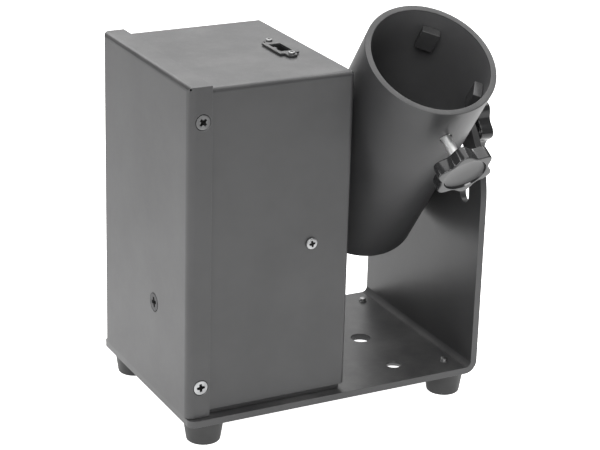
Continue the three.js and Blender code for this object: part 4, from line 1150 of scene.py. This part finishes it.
tube = finish(make_tube(), "launch_tube", coat_tube, ["barrel_tube"], BARREL, "barrel")
# The bore and the tube's floor get the lighter bore coat: painted light inside the tube
tube.data.materials.append(painted_light_bore_coat)
to_tube = (ROW @ BARREL).inverted()
for polygon in tube.data.polygons:
    spot = to_tube @ polygon.center
    if hypot(spot.x, spot.y) < TUBE_INNER + 0.2 and spot.z < TUBE_ABOVE - 1:
        polygon.material_index = 1
finish(washer(TUBE_INNER - GAP, 10.0, GAP - TUBE_BELOW, 3 - TUBE_BELOW, 0.3, 128),
       "launch_tube_floor", painted_light_bore_coat, ["barrel_base"], BARREL, "barrel")
for index, angle in enumerate((59, 148.5, 283.75), 1):
    finish(make_guide_pad(), f"cartridge_guide_{index}", coat_guide, [f"guide_pad_{index}"],
           BARREL @ turned(angle, "Z"), "barrel")


def make_pivot_bolt():
    head = lathe([
        (0, 29.5), (3.9, 29.8), (7.2, 31.7), (8, 32.4), (8, 33.0), (7.8, 33.1), (4, 33.1),
        (4, 36), (0, 36),
    ], sides=72)
    return joined(head, threaded_rod(4.0, 1.25, 35.9, UPRIGHT_OUTER + 9.5))


OUTSIDE = UPRIGHT_OUTER + GAP
ACROSS = BARREL @ QUARTER_Y
IN_SLOT = BARREL @ moved(0, 0, SLOT_RADIUS) @ QUARTER_Y
finish(make_pivot_bolt(), "pivot_fixing", zinc, ["pivot_bolt"], ACROSS, "barrel")
finish(washer(8, BOLT_HOLE, TUBE_OUTER + GAP, UPRIGHT_OUTER - PLATE - GAP), "pivot_ring", zinc,
       ["pivot_spacer"], ACROSS, "barrel")
nut = joined(
    washer(9, BOLT_HOLE, OUTSIDE, OUTSIDE + 1.6),
    place(hex_nut(13, 4.1, 6.4), moved(0, 0, OUTSIDE + 1.4)))
finish(nut, "pivot_locknut", zinc, ["pivot_nut"], ACROSS, "barrel")
finish(hex_nut(13, 4.1, 6.2), "tilt_fixing_nut", zinc, ["tilt_nut"],
       IN_SLOT @ moved(0, 0, 27), "barrel")
finish(washer(9.5, 4.2, OUTSIDE, OUTSIDE + TILT_WASHER), "tilt_ring", zinc, ["tilt_washer"],
       IN_SLOT, "tilt_clamp")

# Star knobs and what they turn

TIP, VALLEY, LOBES = 17.6, 14.0, 6
DISH = ((12.7, 0.0), (12.52, -0.1), (12.42, -0.35), (12.3, -0.9), (12.05, -1.35), (11.5, -1.75),
        (10.6, -2.0), (8.8, -2.2), (6.4, -2.38), (4.0, -2.5), (2.0, -2.57))
HUB, HUB_RADIUS = 3.2, 7.0


def star_radius(turn):
    swell = (1 + cos(LOBES * turn)) / 2
    return VALLEY + (TIP - VALLEY) * swell ** 1.15


def make_star_knob(bore, sides=216):
    """A lobed head with a shallow dish in its face, on a short hub, along Z."""
    face = KNOB_LENGTH

    def ring(height, inset=None, radius=None):
        points = []
        for i in range(sides):
            turn = 2 * pi * i / sides
            r = radius if radius is not None else star_radius(turn) - inset
            points.append(Vector((r * cos(turn), r * sin(turn), height)))
        return points

    rings = [[Vector((0, 0, face - 2.6))]]
    rings += [ring(face + drop, radius=radius) for radius, drop in reversed(DISH)]
    rings += [ring(height, inset=inset) for height, inset in (
        (face, 0.85), (face - 0.08, 0.45), (face - 0.3, 0.14), (face - 0.7, 0.0),
        (face - 4.0, 0.12), (HUB + 1.0, 0.35), (HUB + 0.45, 0.5), (HUB + 0.12, 0.85), (HUB, 1.3))]
    rings += [ring(height, radius=radius) for height, radius in (
        (HUB, HUB_RADIUS + 0.6), (HUB - 0.2, HUB_RADIUS + 0.15), (HUB - 0.6, HUB_RADIUS),
        (0.3, HUB_RADIUS - 0.1), (0.08, HUB_RADIUS - 0.25), (0, HUB_RADIUS - 0.5), (0, bore),
        (HUB + 4, bore))]
    return loft(rings + [[Vector((0, 0, HUB + 4))]])


def make_stud(radius, pitch, low, thread_end, seat):
    """A threaded inner end and a plain bright shank that runs into the knob's hub."""
    end = seat + HUB + 3.7
    shank = lathe([
        (0, thread_end), (radius - 0.4, thread_end), (radius, thread_end + 0.4), (radius, end),
        (0, end),
    ], sides=72)
    return joined(threaded_rod(radius, pitch, low, thread_end + 0.1), shank)


def make_clamp_pad():
    return lathe([
        (0, 25.5), (5.8, 25.5), (6.4, 25.6), (6.85, 26.0), (7, 26.5), (7, 27.9), (6.7, 28.5),
        (3.9, 29.9), (3.4, 30.1), (0, 30.1),
    ], sides=96)


finish(make_star_knob(4.2), "tilt_star_knob", knob_black, ["tilt_knob"],
       IN_SLOT @ moved(0, 0, TILT_KNOB_SEAT) @ turned(2.9, "Z"), "tilt_knob")
finish(make_stud(3.9, 1.25, 25.8, 36, TILT_KNOB_SEAT), "tilt_shank", zinc_turned, ["tilt_stud"],
       IN_SLOT, "tilt_knob")
finish(make_star_knob(3.2), "clamp_star_knob", knob_black, ["clamp_knob"],
       CLAMP @ moved(0, 0, CLAMP_KNOB_SEAT) @ turned(50.2, "Z"), "clamp_knob")
finish(make_stud(2.9, 1.0, 30.4, 37.4, CLAMP_KNOB_SEAT), "clamp_shank", zinc_turned,
       ["clamp_stud"], CLAMP, "clamp_knob")
finish(make_clamp_pad(), "clamp_pressure_pad", foot_rubber, ["clamp_pad"], CLAMP, "clamp_pad")

# Solids inside the box keep their shape and get their finish

INSIDE = {
    "chassis": coat_box, "board_bracket": sheet_steel, "transformer_dish": sheet_steel,
    "transformer": coil_tape, "transformer_pad": foot_rubber, "transformer_nut": zinc,
    "main_board": solder_mask, "display_board": solder_mask, "relay": relay_blue,
    "capacitor": matt_black,
}
for node, material in INSIDE.items():
    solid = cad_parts[node]
    solid.data.materials.clear()
    solid.data.materials.append(material)

# Floor, camera and light


def floor_material():
    material, w, shader = new_material("pale_floor")
    tone = w.noise(w.place(), 3.0, 4.0)
    w.link(mix_colour(w, tone, (0.86, 0.86, 0.86), (0.9, 0.9, 0.9)), shader.inputs["Base Color"])
    w.link(w.ramp(tone, 0.2, 0.8, 0.75, 0.85), shader.inputs["Roughness"])
    shader.inputs["Specular IOR Level"].default_value = 0.2
    shader.inputs["Emission Color"].default_value = (1, 1, 1, 1)
    away = w.node("VectorMath", {0: w.place()}, operation="LENGTH").outputs["Value"]
    seen = w.node("LightPath").outputs["Is Camera Ray"]
    glow = w.math("ADD", w.math("MULTIPLY", seen, 0.6), w.ramp(away, 0.1, 0.6, 0.6, 0.15))
    w.link(glow, shader.inputs["Emission Strength"])
    return material


floor_mesh = bpy.data.meshes.new("floor")
floor_mesh.from_pydata([(-6, -6, 0), (8, -6, 0), (8, 12, 0), (-6, 12, 0)], [], [(0, 1, 2, 3)])
floor = bpy.data.objects.new("floor", floor_mesh)
bpy.context.scene.collection.objects.link(floor)
floor_mesh.materials.append(floor_material())

camera_data = bpy.data.cameras.new("camera")
camera = bpy.data.objects.new("camera", camera_data)
bpy.context.scene.collection.objects.link(camera)
camera_data.sensor_width = 36.0
camera_data.lens = 119.86
camera_data.clip_end = 50
eye = (-0.50897, -0.9349, 0.50937)
look = Vector((0.4369, 0.8267, -0.3544)).normalized()
up = Vector((0.1406, 0.3264, 0.9347))
side = look.cross(up).normalized()
up = side.cross(look)
camera.matrix_world = Matrix((
    (side.x, up.x, -look.x, eye[0]),
    (side.y, up.y, -look.y, eye[1]),
    (side.z, up.z, -look.z, eye[2]),
    (0, 0, 0, 1),
))
bpy.context.scene.camera = camera

AIM = Vector((0.0, 0.0, 0.1))
SOFTBOXES = (
    ("top_softbox", (0.15, 0.1, 1.5), (1.8, 1.7), 20),
    ("camera_side_softbox", (-0.6, -1.1, 1.0), (0.7, 0.7), 13),
    ("rear_softbox", (0.3, 1.2, 1.2), (1.2, 1.2), 12),
    ("front_softbox", (-1.36, 0.4, 0.3), (0.5, 0.8), 5.5),
    ("left_accent", (-1.05, -0.3, 0.62), (0.3, 0.3), 0.8),
    ("right_rear_accent", (1.0, 0.3, 1.2), (0.25, 0.25), 1.5),
)
for name, spot, size, power in SOFTBOXES:
    data = bpy.data.lights.new(name, "AREA")
    data.shape = "RECTANGLE"
    data.size, data.size_y = size
    data.energy = power
    lamp = bpy.data.objects.new(name, data)
    bpy.context.scene.collection.objects.link(lamp)
    lamp.location = spot
    lamp.rotation_mode = "QUATERNION"
    lamp.rotation_quaternion = (AIM - Vector(spot)).to_track_quat("-Z", "Y")

world = bpy.data.worlds.new("studio")
bpy.context.scene.world = world
world.use_nodes = True
backdrop = world.node_tree.nodes["Background"]
backdrop.inputs["Color"].default_value = (1, 1, 1, 1)
sky = Wiring(world.node_tree)
sky.link(
    sky.math("ADD", sky.math("MULTIPLY", sky.node("LightPath").outputs["Is Camera Ray"], 0.7), 0.2),
    backdrop.inputs["Strength"],
)
bpy.context.scene.view_settings.view_transform = "Standard"
